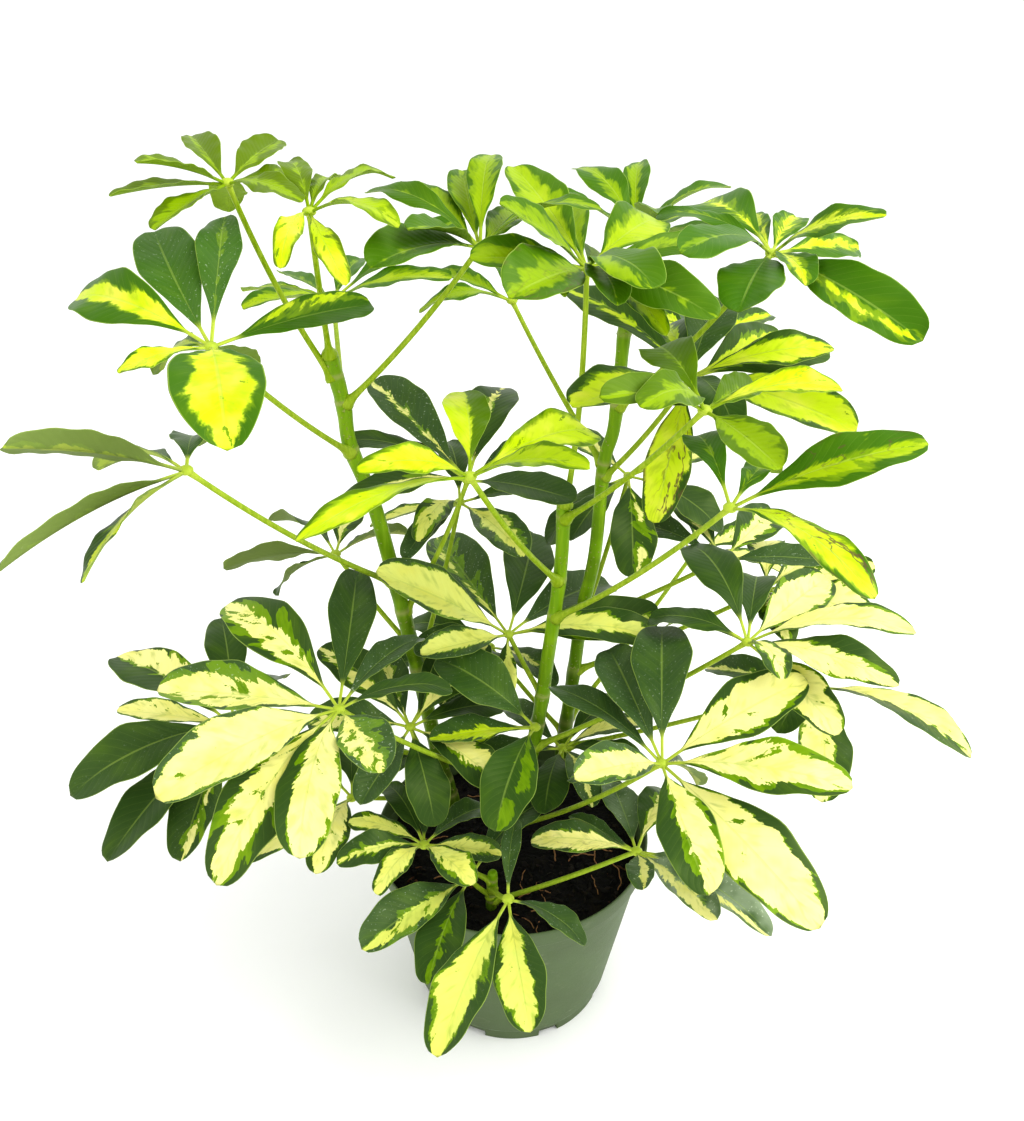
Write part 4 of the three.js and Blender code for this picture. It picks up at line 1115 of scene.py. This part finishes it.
def bits_finish(c):
    """Bark chips from black to tan, and pale tan root threads."""
    f = Finish("bark_chips")
    tone, root, _ = f.marked("bit")
    grain = f.noise(0.0013, 3.0)
    shade = f.layered(
        c.soil_dark,
        (tone.step(0.3, 0.9), c.soil_dry),
        (tone.step(0.93, 0.97), c.fibre),
        (root, f.layered(c.fibre, (grain, c.root))))
    return f.surface(shade, 0.75 + grain * 0.15, grain, 0.0005, 0.3)


def floor_finish(c):
    """Floor: matt white paper with a hardly visible mottle."""
    f = Finish("white_paper")
    mottle = f.noise(0.05, 3.0)
    darker = (*(0.97 * part for part in c.paper[:3]), 1.0)
    tone = f.layered(c.paper, (mottle, darker))
    return f.surface(tone, 0.9 + mottle * 0.05, mottle, 0.0001, 0.1)


# Settings

def number(name, description, default, **more):
    """A number, with what else its property takes, such as a subtype."""
    return bpy.props.FloatProperty(name=name, description=description, default=default, **more)


def length(name, description, default):
    """A length in metres."""
    return number(name, description, default, unit="LENGTH", precision=5)


def count(name, description, default):
    """A whole number from 3 up."""
    return bpy.props.IntProperty(name=name, description=description, default=default, min=3)


def tint(name, description, *rgb):
    """A colour, given by its three sRGB numbers from 0 to 255."""
    def linear(v):
        v = v / 255
        return v / 12.92 if v <= 0.04045 else ((v + 0.055) / 1.055) ** 2.4
    return bpy.props.FloatVectorProperty(
        name=name, description=description, default=(*map(linear, rgb), 1.0), size=4,
        subtype="COLOR", min=0, max=1)


class PlantShape(bpy.types.PropertyGroup):
    """Small sizes of the plant, pot and mix, and how finely they are drawn."""

    stalk_rows: count("Stalk rows", "Rows of points along the stalk of a leaflet", 5)
    blade_rows: count("Blade rows", "Rows of points along a blade", 32)
    columns: count("Blade columns", "Points round a blade's section", 28)
    stalk_half: length("Stalk half width", "Half width of a leaflet's stalk", 0.8 * MM)
    stalk_thick: length("Stalk thickness", "Thickness of a leaflet's stalk", 1.5 * MM)
    blade_thick: length("Blade thickness", "Thickness of a blade at its midrib", 0.7 * MM)
    rib_height: length("Rib height", "How far the midrib stands out below the blade", 0.7 * MM)
    rib_half: length("Rib half width", "Half width of the midrib", 0.9 * MM)
    fine_wave: length("Fine wave", "Height of the small waves along a blade's margin", 0.35 * MM)
    petiole_rows: count("Petiole rows", "Rows of points along a petiole", 26)
    petiole_columns: count("Petiole columns", "Points round a petiole", 12)
    petiole_radius: length("Petiole radius", "Radius of a petiole at its far end", 1.3 * MM)
    hub_rows: count("Hub rows", "Rows of points over a hub", 6)
    hub_columns: count("Hub columns", "Points round a hub", 14)
    hub_radius: length("Hub radius", "Radius of the hub where the leaflets meet", 3.3 * MM)
    hub_half_height: length("Hub half height", "Half height of that hub", 2.2 * MM)
    stem_rows: count("Stem rows", "Rows of points along a stem", 190)
    stem_columns: count("Stem columns", "Points round a stem", 28)
    stem_dome: length("Stem dome", "Height of a stem's rounded top", 3 * MM)
    scar_spacing: length("Scar spacing", "Between old leaf scars on the foot of a stem", 17 * MM)
    pot_edge: length("Pot edge", "Radius that the pot's moulded edges are rounded to", 0.7 * MM)
    pot_columns: count("Pot columns", "Points round the pot", 192)
    soil_rows: count("Mix rows", "Rings of points over the potting mix", 84)
    soil_columns: count("Mix columns", "Points round the potting mix", 260)
    chips: count("Bark chips", "Bark chips and crumbs on the mix", 620)
    roots: count("Roots", "Root threads on the mix", 26)


class PlantColours(bpy.types.PropertyGroup):
    """Colours of the blades, stalks, stems, pot and mix."""

    old_green: tint("Old green", "Dark parts of the old blades", 53, 79, 34)
    green: tint("Green", "Dark parts of the full-grown blades", 62, 106, 6)
    young_green: tint("Young green", "Darker parts of the young blades", 92, 118, 0)
    lime: tint("Lime", "Bands between cream and dark green", 112, 146, 12)
    young_lime: tint("Young lime", "Middle tone of the young blades", 134, 164, 0)
    cream: tint("Cream", "Palest areas of the old blades", 243, 238, 156)
    yellow: tint("Yellow", "Yellow clouds in the cream", 230, 225, 98)
    young_yellow: tint("Young yellow", "Brightest areas of the young blades", 194, 218, 4)
    vein: tint("Vein", "Midrib, side veins and margin", 176, 200, 96)
    young_underside: tint("Young underside", "Undersides of the young blades", 142, 172, 48)
    underside: tint("Underside", "Matt film on the undersides", 136, 154, 84)
    # Painted sheen: grey laid in clouds over the old dark blades for their satin shine, also the grey
    # of their dried dust
    grey_sheen_and_dust: tint("Bloom", "Grey bloom on old dark blades", 96, 120, 88)
    speck: tint("Speck", "Dried specks in the bloom", 186, 198, 176)
    stalk: tint("Leaflet stalk", "Stalks of leaflets and the hubs", 184, 202, 72)
    petiole: tint("Petiole", "Stalks of the whole leaves", 144, 170, 40)
    stem: tint("Stem", "Upper stems", 112, 152, 10)
    stem_foot: tint("Stem foot", "Lower stems", 64, 90, 14)
    stem_streak: tint("Stem streak", "Pale streaks along the stems", 160, 194, 36)
    scar: tint("Scar", "Leaf scars and bark dots", 176, 170, 118)
    bark: tint("Bark", "Brown patches and dirt", 92, 74, 52)
    cut: tint("Cut", "Dry end of the shortened stem", 184, 140, 110)
    pot: tint("Pot", "Sage-green plastic", 74, 92, 52)
    pot_faded: tint("Faded pot", "Paler clouds in the plastic", 86, 108, 64)
    pot_inside: tint("Pot inside", "Inner wall", 24, 26, 22)
    dust: tint("Dust", "Dried water and dust on the plastic", 128, 136, 108)
    soil: tint("Mix", "Potting mix", 15, 11, 9)
    soil_dark: tint("Dark mix", "Wet crumbs", 5, 4, 4)
    soil_dry: tint("Dry mix", "Dry crumbs", 38, 30, 22)
    fibre: tint("Fibre", "Red-brown bark fibres", 90, 56, 36)
    root: tint("Root", "Pale roots", 196, 150, 108)
    paper: tint("Paper", "The floor", 255, 255, 255)


class PlantStage(bpy.types.PropertyGroup):
    """Camera, lights and floor."""

    camera_back: length("Camera distance", "Level distance of the camera from the pot's axis", 0.512)
    camera_height: length("Camera height", "Height of the camera above the floor", 0.614)
    pitch: number("Pitch", "How far the camera looks down", math.radians(30.7), subtype="ANGLE")
    lens: number("Lens", "Focal length on a 36 mm frame", 36.45, min=1)
    floor_side: length("Floor side", "Side of the square floor", 40)
    key_watts: number("Key light", "Power of the large light at the right", 16, subtype="POWER")
    fill_watts: number("Fill light", "Power of the light at the left front", 3, subtype="POWER")
    sky: number("Sky", "Strength of the white surroundings", 0.95, min=0)


# Operators

class PLANT_OT_pot(bpy.types.Operator):
    """Add the nursery pot"""

    bl_idname = "plant.pot"
    bl_label = "Nursery pot"

    def execute(self, context):
        scene = context.scene
        build_pot(scene.plant_shape, pot_finish(scene.plant_colours))
        return {"FINISHED"}


class PLANT_OT_mix(bpy.types.Operator):
    """Add the potting mix with its bark chips and roots"""

    bl_idname = "plant.mix"
    bl_label = "Potting mix"

    def execute(self, context):
        scene = context.scene
        build_soil(scene.plant_shape, soil_finish(scene.plant_colours))
        build_bits(scene.plant_shape, bits_finish(scene.plant_colours))
        return {"FINISHED"}


class PLANT_OT_stems(bpy.types.Operator):
    """Add the stems"""

    bl_idname = "plant.stems"
    bl_label = "Stems"

    def execute(self, context):
        scene = context.scene
        finish = stem_finish(scene.plant_colours)
        for name in STEMS:
            build_stem(name, scene.plant_shape, finish)
        return {"FINISHED"}


class PLANT_OT_leaves(bpy.types.Operator):
    """Add the compound leaves"""

    bl_idname = "plant.leaves"
    bl_label = "Leaves"

    def execute(self, context):
        scene = context.scene
        finishes = [leaf_finish(scene.plant_colours), petiole_finish(scene.plant_colours)]
        for node in LEAVES:
            build_leaf(node, scene.plant_shape, finishes)
        return {"FINISHED"}


class PLANT_OT_stage(bpy.types.Operator):
    """Add the floor, the lights and the camera"""

    bl_idname = "plant.stage"
    bl_label = "Floor, lights and camera"

    def execute(self, context):
        scene, look = context.scene, context.scene.plant_stage
        add_floor(look.floor_side / 2, floor_finish(scene.plant_colours))
        for name, (place, side) in LIGHTS.items():
            add_light(name, place, side, getattr(look, name + "_watts"))
        add_surroundings(scene, look.sky)
        add_camera(scene, look)
        return {"FINISHED"}


def add_floor(half, finish):
    """Level square of which half is half the side."""
    mesh = bpy.data.meshes.new("floor")
    corners = [(-half, -half, 0), (half, -half, 0), (half, half, 0), (-half, half, 0)]
    mesh.from_pydata(corners, [], [(0, 1, 2, 3)])
    mesh.materials.append(finish)
    floor = placed("floor", mesh)


def add_light(name, place, side, watts):
    """Square soft light of the given side, turned towards the lit point."""
    data = bpy.data.lights.new(name, "AREA")
    data.energy, data.size = watts, side
    light = placed(name, data)
    light.location = place
    x, y, z = np.subtract(LIT_POINT, place)
    light.rotation_euler = (math.atan2(math.hypot(x, y), -z), 0, math.atan2(y, x) - math.pi / 2)


def add_surroundings(scene, sky):
    """White surroundings of the given strength, shown with some contrast."""
    world = bpy.data.worlds.new("surroundings")
    world.use_nodes = True
    back = world.node_tree.nodes["Background"]
    back.inputs["Color"].default_value = (1, 1, 1, 1)
    back.inputs["Strength"].default_value = sky
    scene.world = world
    scene.view_settings.view_transform = "Standard"
    scene.view_settings.look = "Medium High Contrast"


def add_camera(scene, look):
    """The camera at the photograph's place, looking level along +Y but for its pitch."""
    lens = bpy.data.cameras.new("camera")
    lens.sensor_fit, lens.sensor_width, lens.lens = "AUTO", FRAME_WIDTH_MM, look.lens
    lens.clip_start, lens.clip_end = 0.01, 100
    camera = placed("camera", lens)
    camera.location = (0, -look.camera_back, look.camera_height)
    camera.rotation_euler = (math.pi / 2 - look.pitch, 0, 0)
    scene.camera = camera


class PLANT_PT_panel(bpy.types.Panel):
    """Lists the plant's pieces and settings"""

    bl_label = "Potted umbrella plant"
    bl_idname = "PLANT_PT_panel"
    bl_space_type = "VIEW_3D"
    bl_region_type = "UI"
    bl_category = "Plant"

    def draw(self, context):
        for operator in OPERATORS:
            self.layout.operator(operator.bl_idname)
        for name, group in SETTINGS.items():
            box = self.layout.box()
            box.label(text=group.__doc__)
            for key in group.__annotations__:
                box.prop(getattr(context.scene, name), key)


SETTINGS = {"plant_shape": PlantShape, "plant_colours": PlantColours, "plant_stage": PlantStage}
OPERATORS = (PLANT_OT_pot, PLANT_OT_mix, PLANT_OT_stems, PLANT_OT_leaves, PLANT_OT_stage)
CLASSES = (*SETTINGS.values(), *OPERATORS, PLANT_PT_panel)


def register():
    for item in CLASSES:
        bpy.utils.register_class(item)
    for name, group in SETTINGS.items():
        setattr(bpy.types.Scene, name, bpy.props.PointerProperty(type=group))


def unregister():
    for name in SETTINGS:
        delattr(bpy.types.Scene, name)
    for item in reversed(CLASSES):
        bpy.utils.unregister_class(item)


def main():
    """Builds everything: registers the settings, operators and panel, then runs each operator."""
    register()
    for operator in OPERATORS:
        group, name = operator.bl_idname.split(".")
        getattr(getattr(bpy.ops, group), name)()


if __name__ == "__main__":
    main()
